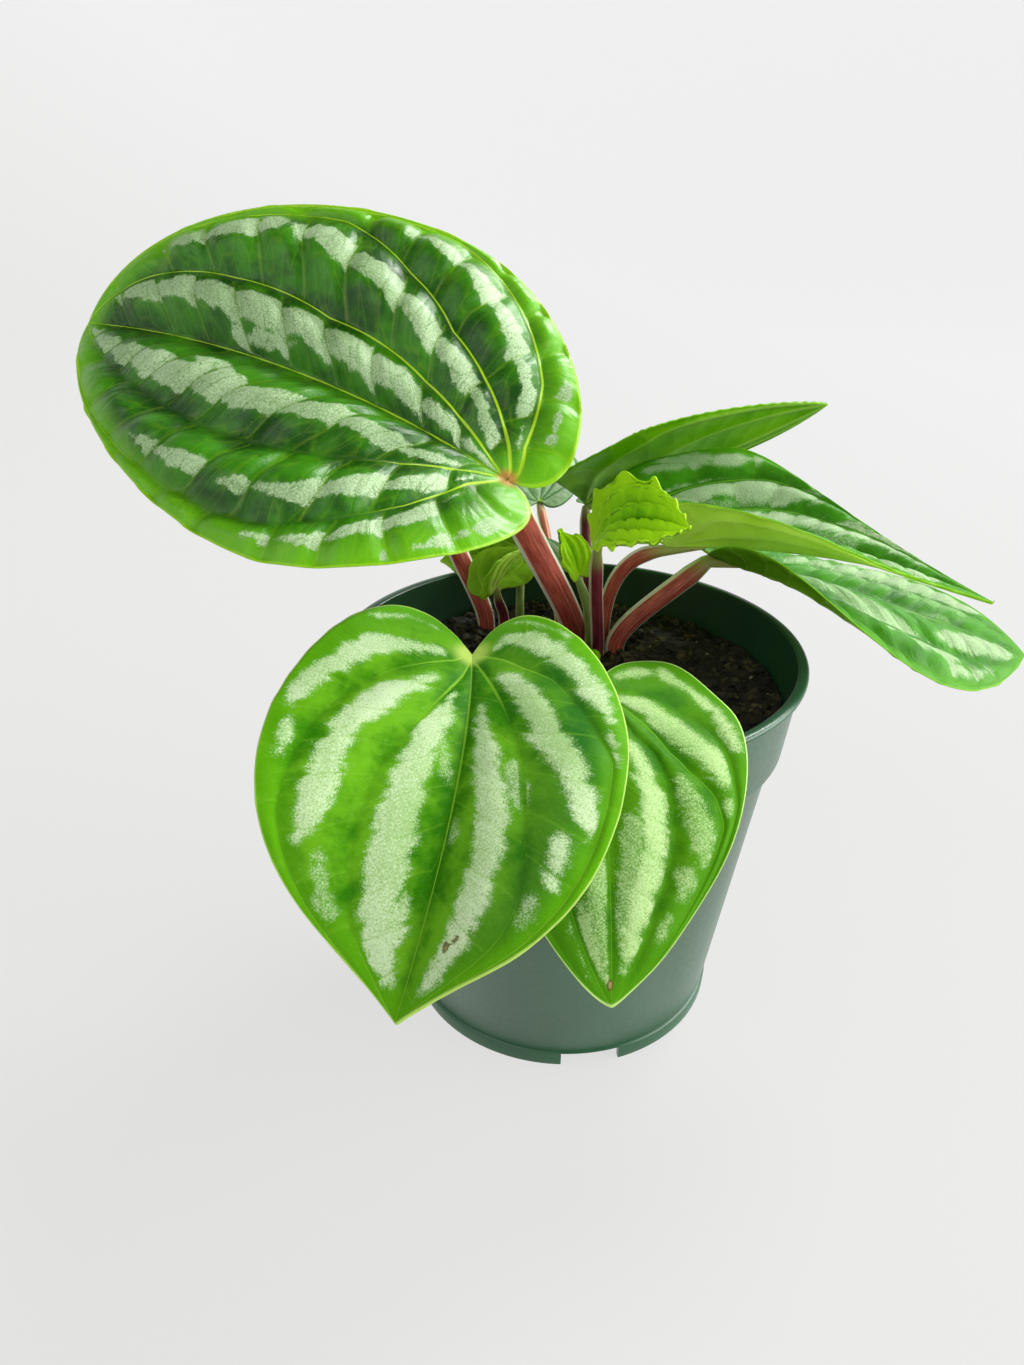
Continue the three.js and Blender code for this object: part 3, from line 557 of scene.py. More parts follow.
def fold_and_bend(leaf, run, y, is_left):
    """A half folded at the midrib and bent: how far each point then lies across, and how high."""
    near = np.clip(run, 0, 1)
    curl = np.where(is_left, 0, leaf["curl"]) * (1 - near) ** 2
    flatten = 1 - leaf["unfold"] * near**1.5
    fold = np.radians(np.where(is_left, leaf["foldLeft"], leaf["foldRight"] * flatten))
    half = np.where(is_left, leaf["left"], leaf["right"])
    bend = np.where(is_left, leaf["bendLeft"], leaf["bendRight"]) + curl + 0.01
    k = np.radians(bend) / half
    across = (np.sin(fold + k * y) - np.sin(fold)) / k
    return across, -(np.cos(fold + k * y) - np.cos(fold)) / k, half


def outline(leaf, run, share):
    """A place on the flat blade, the share negative on the right half."""
    side = "left" if share >= 0 else "right"
    mx, my = margin(leaf, side, np.array([run]))
    return (leaf["length"] * run * (1 - abs(share)) + mx[0] * abs(share), share * my[0])


def scar_rings(leaf, x, y):
    """Distance from the nearest dead spot, in units of its size."""
    nearest = np.full_like(x, 9.0)
    for run, share, size in leaf["scars"]:
        middle = outline(leaf, run, share)
        nearest = np.minimum(nearest, np.hypot(x - middle[0], 1.6 * (y - middle[1])) / size)
    return nearest


def leaf_surface(leaf, u, t):
    """Top face of the blade at run u and column t, from -1 at the right margin to 1 at the left."""
    is_left = t >= 0
    sign = np.where(is_left, 1.0, -1.0)
    at = lay_out(leaf, u, t)
    cut_in, ruffle = margin_cut(leaf, u, sign, at)
    x = (leaf["length"] * u + tip_drip(leaf, u)) * (1 - at.share) + at.mx * at.share
    y = at.share * at.my - cut_in
    flat_y = y * sign
    run = x / leaf["length"]
    across, lift, half = fold_and_bend(leaf, run, y, is_left)

    # Swellings between the veins, then the margin's waves and ruffles.
    in_blade = np.sin(math.pi * np.clip(u, 0, 1)) ** 0.7
    pillow = np.sin(math.pi * at.local) ** 1.3 * np.clip(at.gap / (FULL_PILLOW * half), 0, 1.2)
    lift += leaf["pleat"] * in_blade * pillow * (1 - 0.35 * at.share)
    lift += leaf["wave"] * in_blade * at.share**3 * np.sin(math.tau * leaf["waves"] * u + sign)
    lift += ruffle * in_blade

    # Cross veins leave the inner vein slanting towards the tip. They lie in furrows, as the veins do.
    reach = np.hypot(x, flat_y)
    along = reach - CROSS_SLANT * at.local * at.gap
    along += CROSS_WANDER * ripple(x, flat_y, WANDER_SIZE, leaf["seed"])
    phase = along / leaf["spacing"] + 0.37 * at.band + 0.5 * is_left
    cross = np.abs(phase - np.round(phase)) * leaf["spacing"] * 0.8
    deep = np.sin(math.pi * at.local) ** 0.5 * in_blade * np.clip(at.gap / 4, 0, 1)
    lift -= leaf["quilt"] * np.exp(-((cross / (CROSS_FURROW * leaf["spacing"])) ** 2)) * deep
    lift -= VEIN_FURROW * np.exp(-((at.vein / VEIN_FURROW_HALF) ** 2)) * in_blade
    lift += leaf["crinkle"] * ripple(x, flat_y, CRINKLE_SIZE, leaf["seed"] + 1) * in_blade * at.share

    s, origin, left, up = midrib(leaf)
    aside = follow(s, run, left) * (sign * across)[:, None]
    top = follow(s, run, origin) + aside + follow(s, run, up) * lift[:, None]
    marks = dict(
        silver=stroke_depth(leaf, x, flat_y, leaf["silver"]) + leaf["broaden"],
        haze=stroke_depth(leaf, x, flat_y, leaf["haze"]),
        scar=scar_rings(leaf, x, flat_y),
        vein=at.vein,
        phase=phase,
        ridge=pillow,
        side=at.share * sign,
        rim=(1 - at.share) * at.my,
        run=np.clip(reach / leaf["length"], 0, 1),
    )
    return top, at.share * sign, marks


def even_silver(leaf):
    """Plain bands half-way between the veins, for the leaves whose top isn't seen."""
    strokes = []
    for side, sign in (("left", 1), ("right", -1)):
        for k in range(len(leaf["veins" + side.title()]) + 1):
            line = []
            for u in (0.2, 0.35, 0.5, 0.65, 0.8)[: 5 - k]:
                inner, outer = vein_shares(leaf, side, np.array([u]))[k:k + 2, 0]
                width = (outer - inner) * margin(leaf, side, np.array([u]))[1][0]
                half_width = 0.3 * width * math.sin(math.pi * u) ** 0.5
                line.append((u, sign * (inner + outer) / 2, half_width))
            strokes.append(line)
    return strokes


def make_blade(name, leaf, top_finish, under_finish):
    piece, across, along = grid("leaf_" + name, 2 * leaf["columns"], leaf["rows"])
    # The rows crowd together towards the hub and the tip, where the margin turns fastest.
    run = 0.5 - 0.5 * np.cos(math.pi * along)
    top, side_share, marks = leaf_surface(leaf, run, 1 - 2 * across)
    mesh = piece.data
    set_places(mesh, in_frame(top))
    # The UV map says where a point lies along the blade and across it.
    corner = np.empty(len(mesh.loops), dtype=int)
    mesh.loops.foreach_get("vertex_index", corner)
    uv = np.stack([run[corner], (side_share[corner] + 1) / 2], 1).astype(np.float32)
    mesh.uv_layers[0].data.foreach_set("uv", uv.ravel())
    for key, values in marks.items():
        mark(mesh, key, values)
    thick = IN_BETWEEN + ALONG_VEIN * np.exp(-((marks["vein"] / 1.1) ** 2))
    thick -= OFF_MARGIN * np.exp(-marks["rim"] / 0.7)
    group = piece.vertex_groups.new(name="thickness")
    for i, weight in enumerate(np.clip(thick, 0.1, 1)):
        group.add([i], float(weight), "REPLACE")
    weld(piece)
    mesh.materials.append(top_finish)
    mesh.materials.append(under_finish)
    apply(piece, "SOLIDIFY", thickness=BLADE * MM, offset=-1, use_even_offset=False,
          vertex_group="thickness", use_rim=True, material_offset=1, material_offset_rim=0)
    smooth(piece)
    finish_piece(piece, "blade_" + name)


# ------------------------------------------------------------------ the stalks
# Bearing in degrees from the front, height as a share, and width in degrees.
RIBS = [(-80, 1.0, 30), (12, 0.5, 5), (82, 1.0, 28), (150, 0.6, 9), (205, 0.7, 10)]


def stalk_line(leaf, stations):
    """Points and directions along the stalk, its whole length, and its length up to the blade."""
    foot, knee = leaf["stalk"]["foot"], leaf["stalk"]["knee"]
    s, at, left, up = midrib(leaf)
    top = leaf["stalk"]["top"]
    # Past the hub the stalk thins out along the underside of the midrib.
    past = np.linspace(0, 1, RUN_ON)[:, None]
    stretch = slice(HUB_STATION, HUB_STATION + 2 * RUN_ON, 2)
    under = at[stretch] - up[stretch] * (0.8 + 0.55 * top * (1 - 0.8 * past))
    end = under[0]
    root = np.array([*foot, SOIL_TOP - ROOT_DEPTH])
    ground = np.array([*foot, GROUND])
    rise = ground + (0, 0, STALK_RISE)
    t = np.linspace(0, 1, 200)[:, None]
    early = (1 - t) ** 3 * ground + 3 * (1 - t) ** 2 * t * rise
    curve = early + 3 * (1 - t) * t * t * np.array(knee) + t**3 * end
    line = np.vstack([root, curve, under[1:]])
    length = np.concatenate([[0], np.cumsum(np.linalg.norm(np.diff(line, axis=0), axis=1))])
    run = stations * length[-1]
    points = follow(length, run, line)
    ahead = follow(length, np.minimum(run + 0.3, length[-1]), line)
    behind = follow(length, np.maximum(run - 0.3, 0), line)
    tangent = ahead - behind
    return points, tangent / np.linalg.norm(tangent, axis=1)[:, None], length[-1], length[len(curve)]


def make_stalk(name, leaf, stalk_finish):
    piece, around, along = grid("stalk_skin_" + name, 60, 64)
    stations = np.clip((along - STALK_END) / (1 - 2 * STALK_END), 0, 1)
    points, tangent, length, to_hub = stalk_line(leaf, stations)
    toward = np.array([0.15, -1.0, 0.25])
    front = toward - tangent * (tangent @ toward)[:, None]
    front /= np.linalg.norm(front, axis=1)[:, None]
    side = np.cross(tangent, front)
    base, top = leaf["stalk"]["base"], leaf["stalk"]["top"]
    angle = around * math.tau
    degrees = (np.degrees(angle) + 180) % 360 - 180
    rib = np.zeros_like(around)
    for place, height, width in RIBS:
        off = (degrees - place + 180) % 360 - 180
        rib = np.maximum(rib, height * np.exp(-((off / width) ** 2)))
    run = stations * length
    radius = base + (top - base) * np.minimum(run / to_hub, 1)
    radius *= 1 + 0.16 * np.exp(-run / 5)
    thinning = [(0, 1), (to_hub - 5, 1), (to_hub + 1, 0.62), (length - 0.5, 0.18), (length, 0.05)]
    radius *= np.interp(run, *zip(*thinning))
    radius *= 0.94 + 0.09 * rib
    end_cap = (along < STALK_END - 1e-6) | (along > 1 - STALK_END + 1e-6)
    radius[end_cap] = 0
    offset = front * (np.cos(angle) * radius)[:, None] + side * (np.sin(angle) * radius)[:, None]
    set_places(piece.data, in_frame(points + offset))
    mark(piece.data, "rib", rib)
    mark(piece.data, "run", run / to_hub)
    weld(piece, 2e-6, outward=True)
    smooth(piece)
    piece.data.materials.append(stalk_finish)
    finish_piece(piece, "stalk_" + name)


# ------------------------------------------------------------------ turned shapes
def turned(name, profile, sides):
    """A ring of edges, extruded and resized along (radius, height) pairs in mm, closed at both ends."""
    deselect()
    radius, height = profile[0]
    bpy.ops.mesh.primitive_circle_add(vertices=sides, radius=radius * MM, location=(0, 0, height * MM))
    piece = take(name)
    bpy.ops.object.mode_set(mode="EDIT")
    bpy.ops.mesh.select_all(action="SELECT")
    bpy.ops.mesh.edge_face_add()
    bpy.ops.mesh.inset(thickness=radius * MM * 0.5)
    bpy.ops.mesh.select_all(action="DESELECT")
    bpy.ops.object.mode_set(mode="OBJECT")
    for vertex in piece.data.vertices:
        vertex.select = math.hypot(vertex.co.x, vertex.co.y) > radius * MM * 0.9
    bpy.ops.object.mode_set(mode="EDIT")
    bpy.ops.mesh.select_mode(type="EDGE")
    for next_radius, next_height in profile[1:]:
        step = (0, 0, (next_height - height) * MM)
        bpy.ops.mesh.extrude_edges_move(TRANSFORM_OT_translate={"value": step})
        share = next_radius / radius
        bpy.ops.transform.resize(value=(share, share, 1), center_override=(0, 0, next_height * MM))
        radius, height = next_radius, next_height
    bpy.ops.mesh.edge_face_add()
    bpy.ops.mesh.inset(thickness=radius * MM * 0.5)
    bpy.ops.mesh.select_all(action="SELECT")
    bpy.ops.mesh.normals_make_consistent(inside=False)
    bpy.ops.object.mode_set(mode="OBJECT")
    piece.data.transform(Matrix.Translation(AXIS))
    return piece


def cut(piece, tool):
    apply(piece, "BOOLEAN", operation="DIFFERENCE", solver="EXACT", object=tool)
    bpy.data.objects.remove(tool, do_unlink=True)


# ------------------------------------------------------------------ materials
def colour(code):
    """An sRGB hex value as linear red, green, blue and alpha."""
    parts = [int(code[i:i + 2], 16) / 255 for i in (1, 3, 5)]
    return (*[p / 12.92 if p <= 0.04045 else ((p + 0.055) / 1.055) ** 2.4 for p in parts], 1.0)


def every(size):
    """The scale, in repeats per metre, of a pattern whose repeat is this many millimetres."""
    return 1 / (size * MM)


def node(tree, kind, inputs, out=0, **settings):
    """Adds a shader node with its settings and links, and gives one of its outputs."""
    new = tree.nodes.new("ShaderNode" + kind)
    for key, value in settings.items():
        setattr(new, key, value)
    for key, value in inputs.items():
        if isinstance(value, bpy.types.NodeSocket):
            tree.links.new(value, new.inputs[key])
        else:
            new.inputs[key].default_value = value
    return new.outputs[out]


def start(name):
    """A new material, its tree and shader, and the place in the object's own metres."""
    material = bpy.data.materials.new(name)
    material.use_nodes = True
    tree = material.node_tree
    return material, tree, tree.nodes["Principled BSDF"], node(tree, "TexCoord", {}, "Object")


SMOOTH = dict(interpolation_type="SMOOTHSTEP")
COLOURS = dict(data_type="RGBA", out=2)

# deep, fresh, edge, shade: greens of the furrows (painted shade there, mixed with random mottle), the
# swellings, the outer part and the half in painted shade.
# silver, lit: the bands, and the lighter colour of their glinting cells, which is a painted glint. gloss:
# roughness. sheen: strength of the shine.
# crisp: half-width in mm of a band's soft border. feather: how far it frays. cut: how much of a band
# a cross vein takes. spot: share of the length that the hub's colour covers.
LEAF_SKIN = dict(
    deep="#2c7404", fresh="#62a016", edge="#54980e", shade="#1f5c20", shaded=0.0,
    silver="#98c070", lit="#d4eab4", vein="#80bc2c", rim="#a8cc60", hub="#a4cc3c",
    gloss=0.4, sheen=0.06, glint=0.7, crisp=1.0, feather=0.6, cut=0.2, haze=0.45,
    vein_mm=0.2, rim_mm=0.3, cross_tint=0.12, spacing=8.0, relief=0.25,
    spot=0.03,
)


# A mature leaf: a waxy living cuticle over green tissue. Air under the clear skin between the veins gives
# silver bands with a fine granular glint, and the veins show lime through it. The glint is painted into the
# colour as lighter cells, a painted glint; the glinting cells are a tenth of a millimetre across and are
# drawn three times as coarse, so that they show.
def leaf_top(name, **own):
    look = {**LEAF_SKIN, **own}
    material, tree, shader, where = start(name)
    patches = node(tree, "TexNoise", {"Vector": where, "Scale": every(14), "Detail": 3})
    mottle = node(tree, "TexNoise", {"Vector": where, "Scale": every(4.5), "Detail": 3, "Roughness": 0.6})
    ragged = node(tree, "TexNoise", {"Vector": where, "Scale": every(1.6), "Detail": 3, "Roughness": 0.6})
    grain = node(tree, "TexNoise", {"Vector": where, "Scale": every(0.34), "Detail": 2, "Roughness": 0.8})
    vein, run, rim, ridge, side, phase, depth, veiled, scar = [
        node(tree, "Attribute", {}, "Fac", attribute_name=key)
        for key in ("vein", "run", "rim", "ridge", "side", "phase", "silver", "haze", "scar")]
    to_cross = node(tree, "Math", {0: phase, 1: 0.5}, operation="PINGPONG")
    cross = node(tree, "Math", {0: to_cross, 1: look["spacing"]}, operation="MULTIPLY")
    # Fingers 2.6 mm wide lie along the slanting cross veins, and so does the finest net of veins.
    slant = node(tree, "Math", {0: phase, 1: look["spacing"] / 2.6}, operation="MULTIPLY")
    across = node(tree, "Math", {0: side, 1: 3.5}, operation="MULTIPLY")
    leafwise = node(tree, "CombineXYZ", {0: slant, 1: across})
    lobes = node(tree, "TexNoise", {"Vector": leafwise, "Scale": 1.0, "Detail": 2})
    areoles = node(tree, "TexVoronoi", {"Vector": leafwise, "Scale": 1.1}, feature="DISTANCE_TO_EDGE")

    # Green: deep in the furrows as painted shade, mixed with random mottle and patches, fresh on the
    # swellings, darker on one half as painted shade, lime at the margin.
    # Painted shade: a low swelling, near a furrow, leans the mix towards the deep green.
    lift = node(tree, "Math", {0: ridge, 1: 0.18, 2: patches}, operation="MULTIPLY_ADD")
    lift = node(tree, "Math", {0: mottle, 1: 0.75, 2: lift}, operation="MULTIPLY_ADD")
    crest = node(tree, "MapRange", {0: lift, 1: 0.72, 2: 1.18}, **SMOOTH)
    green = node(tree, "Mix", {0: crest, 6: colour(look["deep"]), 7: colour(look["fresh"])}, **COLOURS)
    # Painted shade: one half darkens towards the shade green from near the midrib outwards.
    far = node(tree, "MapRange", {0: side, 1: 0.15, 2: 0.9, 4: look["shaded"]}, **SMOOTH)
    green = node(tree, "Mix", {0: far, 6: green, 7: colour(look["shade"])}, **COLOURS)
    outer = node(tree, "MapRange", {0: rim, 1: 8, 2: 0.3}, **SMOOTH)
    green = node(tree, "Mix", {0: outer, 6: green, 7: colour(look["edge"])}, **COLOURS)
    mesh = node(tree, "MapRange", {0: areoles, 1: 0.0, 2: 0.06, 3: 0.08, 4: 0.0}, **SMOOTH)
    green = node(tree, "Mix", {0: mesh, 6: green, 7: colour(look["vein"])}, **COLOURS)

    # Silver: each band frays towards the tip between cross veins, and its border wanders.
    for source, size in ((patches, 2.4), (lobes, 3.0), (ragged, 1.6)):
        depth = node(tree, "Math", {0: source, 1: size, 2: depth}, operation="MULTIPLY_ADD")
        veiled = node(tree, "Math", {0: source, 1: size, 2: veiled}, operation="MULTIPLY_ADD")
    between = node(tree, "Math", {0: phase}, operation="FRACT")
    depth = node(tree, "Math", {0: between, 1: -look["feather"], 2: depth}, operation="MULTIPLY_ADD")
    middle = 3.5 - look["feather"] / 2
    soft = look["crisp"]
    band = node(tree, "MapRange", {0: depth, 1: middle - soft, 2: middle + soft}, **SMOOTH)
    veil = node(tree, "MapRange", {0: veiled, 1: 2.5, 2: 4.5, 4: look["haze"]}, **SMOOTH)
    band = node(tree, "Math", {0: band, 1: veil}, operation="MAXIMUM")
    left_over = 1 - look["cut"]
    for source, low, high, least in ((cross, 0.08, 0.4, left_over), (areoles, 0.01, 0.05, left_over),
                                     (vein, 0.2, 0.9, 0.0)):
        kept = node(tree, "MapRange", {0: source, 1: low, 2: high, 3: least}, **SMOOTH)
        band = node(tree, "Math", {0: band, 1: kept}, operation="MULTIPLY")
    dither = node(tree, "Math", {0: grain, 1: 1.3, 2: band}, operation="MULTIPLY_ADD")
    mask = node(tree, "MapRange", {0: dither, 1: 0.75, 2: 1.6, 4: 0.96}, **SMOOTH)
    # Painted highlight: the silver turns to the lit colour in glinting cells and in larger lit patches.
    bright = node(tree, "Math", {0: patches, 1: 0.6, 2: grain}, operation="MULTIPLY_ADD")
    sparkle = node(tree, "MapRange", {0: bright, 1: 0.62, 2: 1.0, 4: look["glint"]}, **SMOOTH)
    glaze = node(tree, "Mix", {0: sparkle, 6: colour(look["silver"]), 7: colour(look["lit"])}, **COLOURS)
    skin = node(tree, "Mix", {0: mask, 6: green, 7: glaze}, **COLOURS)

    # Cross veins, then main veins that thin out towards the tip, then the margin and the hub.
    thin = node(tree, "MapRange", {0: cross, 1: 0.4, 2: 0.05, 4: look["cross_tint"]}, **SMOOTH)
    skin = node(tree, "Mix", {0: thin, 6: skin, 7: colour(look["vein"])}, **COLOURS)
    width = node(tree, "MapRange", {0: run, 3: look["vein_mm"], 4: look["vein_mm"] * 0.4}, **SMOOTH)
    off = node(tree, "Math", {0: vein, 1: width}, operation="DIVIDE")
    line = node(tree, "MapRange", {0: off, 1: 1.5, 2: 0.6}, **SMOOTH)
    skin = node(tree, "Mix", {0: line, 6: skin, 7: colour(look["vein"])}, **COLOURS)
    lip = node(tree, "MapRange", {0: rim, 1: look["rim_mm"], 2: look["rim_mm"] * 0.4}, **SMOOTH)
    skin = node(tree, "Mix", {0: lip, 6: skin, 7: colour(look["rim"])}, **COLOURS)
    spot = node(tree, "MapRange", {0: run, 1: look["spot"], 2: look["spot"] * 0.3}, **SMOOTH)
    skin = node(tree, "Mix", {0: spot, 6: skin, 7: colour(look["hub"])}, **COLOURS)
    torn = node(tree, "Math", {0: ragged, 1: 1.2, 2: scar}, operation="MULTIPLY_ADD")
    for outside, inside, tint in ((1.75, 1.5, "#5a4a24"), (1.35, 1.15, "#9a9058")):
        dead = node(tree, "MapRange", {0: torn, 1: outside, 2: inside, 4: 0.85}, **SMOOTH)
        skin = node(tree, "Mix", {0: dead, 6: skin, 7: colour(tint)}, **COLOURS)
    tree.links.new(skin, shader.inputs["Base Color"])
    waxy = node(tree, "MapRange", {0: patches, 1: 0.2, 2: 0.8, 3: look["gloss"], 4: look["gloss"] + 0.1})
    rough = node(tree, "Math", {0: mask, 1: 0.12, 2: waxy}, operation="MULTIPLY_ADD")
    tree.links.new(rough, shader.inputs["Roughness"])
    shader.inputs["Specular IOR Level"].default_value = look["sheen"]
    swelling = node(tree, "Math", {0: areoles, 1: 3.0, 2: ragged}, operation="MULTIPLY_ADD")
    height = node(tree, "Math", {0: grain, 1: 0.6, 2: swelling}, operation="MULTIPLY_ADD")
    bump = node(tree, "Bump", {"Height": height, "Strength": look["relief"], "Distance": 0.3 * MM})
    tree.links.new(bump, shader.inputs["Normal"])
    return material


# The same leaf from below: paler and more matt, without the silver, its veins standing out pale. A
# thin half against the window also lets some daylight through, which is its small emission.
def leaf_under(name, body, glow, vein_tint, gloss=0.5, strength=0.6, through=0.0):
    material, tree, shader, where = start(name)
    clouds = node(tree, "TexNoise", {"Vector": where, "Scale": every(11), "Detail": 4})
    fine = node(tree, "TexNoise", {"Vector": where, "Scale": every(0.7), "Detail": 2})
    vein = node(tree, "Attribute", {}, "Fac", attribute_name="vein")
    phase = node(tree, "Attribute", {}, "Fac", attribute_name="phase")
    cross = node(tree, "Math", {0: phase, 1: 0.5}, operation="PINGPONG")
    tone = node(tree, "MapRange", {0: clouds, 1: 0.3, 2: 0.7}, **SMOOTH)
    skin = node(tree, "Mix", {0: tone, 6: colour(body), 7: colour(glow)}, **COLOURS)
    for source, wide, narrow, share in ((vein, 0.7, 0.2, strength), (cross, 0.08, 0.0, 0.3 * strength)):
        line = node(tree, "MapRange", {0: source, 1: wide, 2: narrow, 4: share}, **SMOOTH)
        skin = node(tree, "Mix", {0: line, 6: skin, 7: colour(vein_tint)}, **COLOURS)
    tree.links.new(skin, shader.inputs["Base Color"])
    tree.links.new(skin, shader.inputs["Emission Color"])
    shader.inputs["Emission Strength"].default_value = through
    shader.inputs["Roughness"].default_value = gloss
    shader.inputs["Specular IOR Level"].default_value = 0.04
    bump = node(tree, "Bump", {"Height": fine, "Strength": 0.2, "Distance": 0.2 * MM})
    tree.links.new(bump, shader.inputs["Normal"])
    return material


# A fleshy petiole: translucent skin over red sap, its raised ribs pale and almost without pigment.
def petiole(name, flesh, dark, pale, tip_tint):
    material, tree, shader, where = start(name)
    skin_map = node(tree, "UVMap", {}, "UV")
    drawn = node(tree, "VectorMath", {0: skin_map, 1: (34, 9, 1)}, operation="MULTIPLY")
    streaks = node(tree, "TexNoise", {"Vector": drawn, "Scale": 1, "Detail": 5, "Roughness": 0.65})
    rib = node(tree, "Attribute", {}, "Fac", attribute_name="rib")
    run = node(tree, "Attribute", {}, "Fac", attribute_name="run")
    fade = node(tree, "MapRange", {0: streaks, 1: 0.35, 2: 0.68})
    skin = node(tree, "Mix", {0: fade, 6: colour(dark), 7: colour(flesh)}, **COLOURS)
    ribs = node(tree, "MapRange", {0: rib, 1: 0.38, 2: 0.62}, **SMOOTH)
    skin = node(tree, "Mix", {0: ribs, 6: skin, 7: colour(pale)}, **COLOURS)
    crown = node(tree, "MapRange", {0: run, 1: 0.84, 2: 1.03, 4: 0.9}, **SMOOTH)
    skin = node(tree, "Mix", {0: crown, 6: skin, 7: colour(tip_tint)}, **COLOURS)
    tree.links.new(skin, shader.inputs["Base Color"])
    shader.inputs["Roughness"].default_value = 0.4
    shader.inputs["IOR"].default_value = 1.4
    shader.inputs["Subsurface Weight"].default_value = 0.1
    shader.inputs["Subsurface Radius"].default_value = (0.8, 0.35, 0.2)
    shader.inputs["Subsurface Scale"].default_value = 0.8 * MM
    bump = node(tree, "Bump", {"Height": streaks, "Strength": 0.25, "Distance": 0.2 * MM})
    tree.links.new(bump, shader.inputs["Normal"])
    return material


# Moulded polypropylene, pigmented grey-green: a soft sheen with faint flow marks, handling scuffs
# and a little dried peat low on the wall.
def pot_plastic(name, dark, light, coat):
    material, tree, shader, where = start(name)
    flow = node(tree, "TexNoise", {"Vector": where, "Scale": every(38), "Detail": 3})
    fine = node(tree, "TexNoise", {"Vector": where, "Scale": every(1.1), "Detail": 3})
    grit = node(tree, "TexVoronoi", {"Vector": where, "Scale": every(6.5)}, "Distance")
    height = node(tree, "SeparateXYZ", {0: where}, "Z")
    body = node(tree, "MapRange", {0: flow, 1: 0.35, 2: 0.65})
    skin = node(tree, "Mix", {0: body, 6: colour(dark), 7: colour(light)}, **COLOURS)
    speck = node(tree, "MapRange", {0: grit, 1: 0.1, 2: 0.06, 4: 0.5})
    low_wall = node(tree, "MapRange", {0: height, 1: 30 * MM, 2: 4 * MM})
    dirt = node(tree, "Math", {0: speck, 1: low_wall}, operation="MULTIPLY")
    skin = node(tree, "Mix", {0: dirt, 6: skin, 7: colour("#4a3b2c")}, **COLOURS)
    tree.links.new(skin, shader.inputs["Base Color"])
    tree.links.new(node(tree, "MapRange", {0: fine, 3: 0.26, 4: 0.42}), shader.inputs["Roughness"])
    shader.inputs["IOR"].default_value = 1.49
    shader.inputs["Specular IOR Level"].default_value = 0.35
    shader.inputs["Coat Weight"].default_value = coat
    shader.inputs["Coat Roughness"].default_value = 0.25
    bump = node(tree, "Bump", {"Height": fine, "Strength": 0.12, "Distance": 0.2 * MM})
    tree.links.new(bump, shader.inputs["Normal"])
    return material


# Damp sphagnum peat: near-black crumbs and fibres with a few drier, browner ones.
def peat(name, dark, brown):
    material, tree, shader, where = start(name)
    clumps = node(tree, "TexNoise", {"Vector": where, "Scale": every(3.8), "Detail": 6, "Roughness": 0.7})
    crumbs = node(tree, "TexVoronoi", {"Vector": where, "Scale": every(1.4)}, "Color")
    grey = node(tree, "SeparateColor", {0: crumbs})
    dry = node(tree, "MapRange", {0: clumps, 1: 0.42, 2: 0.66})
    pick = node(tree, "Math", {0: dry, 1: grey}, operation="MULTIPLY")
    skin = node(tree, "Mix", {0: pick, 6: colour(dark), 7: colour(brown)}, **COLOURS)
    tree.links.new(skin, shader.inputs["Base Color"])
    shader.inputs["Roughness"].default_value = 0.85
    bump = node(tree, "Bump", {"Height": clumps, "Strength": 0.8, "Distance": 0.8 * MM})
    tree.links.new(bump, shader.inputs["Normal"])
    return material


# A white acrylic sheet lit from behind, so that what stands on it casts hardly any shadow. It
# brightens a little towards the back, and where it rises at the right it glows like a wide window.
def lit_sheet():
    material, tree, shader, where = start("lit_white_acrylic")
    lean = node(tree, "VectorMath", {0: where, 1: (1.1, 0.7, 1.2)}, "Value", operation="DOT_PRODUCT")
    glow = node(tree, "MapRange", {0: lean, 1: -0.35, 2: 1.0})
    light = node(tree, "Mix", {0: glow, 6: colour("#f1f1ef"), 7: colour("#ffffff")}, **COLOURS)
    tree.links.new(light, shader.inputs["Emission Color"])
    place = node(tree, "SeparateXYZ", {0: where}).node.outputs
    beside = node(tree, "Math", {0: place["Y"]}, operation="ABSOLUTE")
    rightward = node(tree, "Math", {0: beside, 1: -0.9, 2: place["X"]}, operation="MULTIPLY_ADD")
    strength = node(tree, "MapRange", {0: rightward, 1: 0.5, 2: 1.5, 3: 0.735, 4: 6.5}, **SMOOTH)
    tree.links.new(strength, shader.inputs["Emission Strength"])
    shader.inputs["Base Color"].default_value = colour("#646464")
    shader.inputs["Roughness"].default_value = 0.9
    shader.inputs["Specular IOR Level"].default_value = 0.0
    return material


UNDER = leaf_under("leaf_underside", "#4c8408", "#62981c", "#9cc45a")
UNDER_LIME = leaf_under("leaf_underside_lime", "#94c830", "#a8d848", "#bcdc70", 0.42, 0.15, 0.18)
UNDER_BRIGHT = leaf_under("leaf_underside_bright", "#488600", "#609a0a", "#98bc50", 0.42, 0.35)
UNDER_YOUNG = leaf_under("young_leaf_underside", "#639c0c", "#7eb41a", "#b6d860", 0.42)
# In these finishes the deep green is partly painted shade in the furrows, and the shade green is painted
# shade on one half.
QUILTED = leaf_top(
    "glossy_quilted_leaf", deep="#124400", fresh="#367c02", edge="#62ac04", silver="#7ea068",
    lit="#c0d8ac", vein="#a4cc20", rim="#8cc410", hub="#b0843c", gloss=0.25, sheen=0.3, glint=0.8,
    crisp=0.6, feather=1.6, cut=0.4, vein_mm=0.17, rim_mm=0.5, spacing=9.5, relief=0.3)
MATT = leaf_top(
    "matt_silver_banded_leaf", deep="#2c7204", fresh="#66a81a", edge="#58a00c", shade="#1e5c20",
    shaded=0.7, silver="#9cc47a", lit="#e0f0cc", vein="#78b02c", hub="#b4d060", spot=0.07,
    sheen=0.03, crisp=1.4, vein_mm=0.2, haze=0.5, cut=0.04, cross_tint=0.22, relief=0.15)
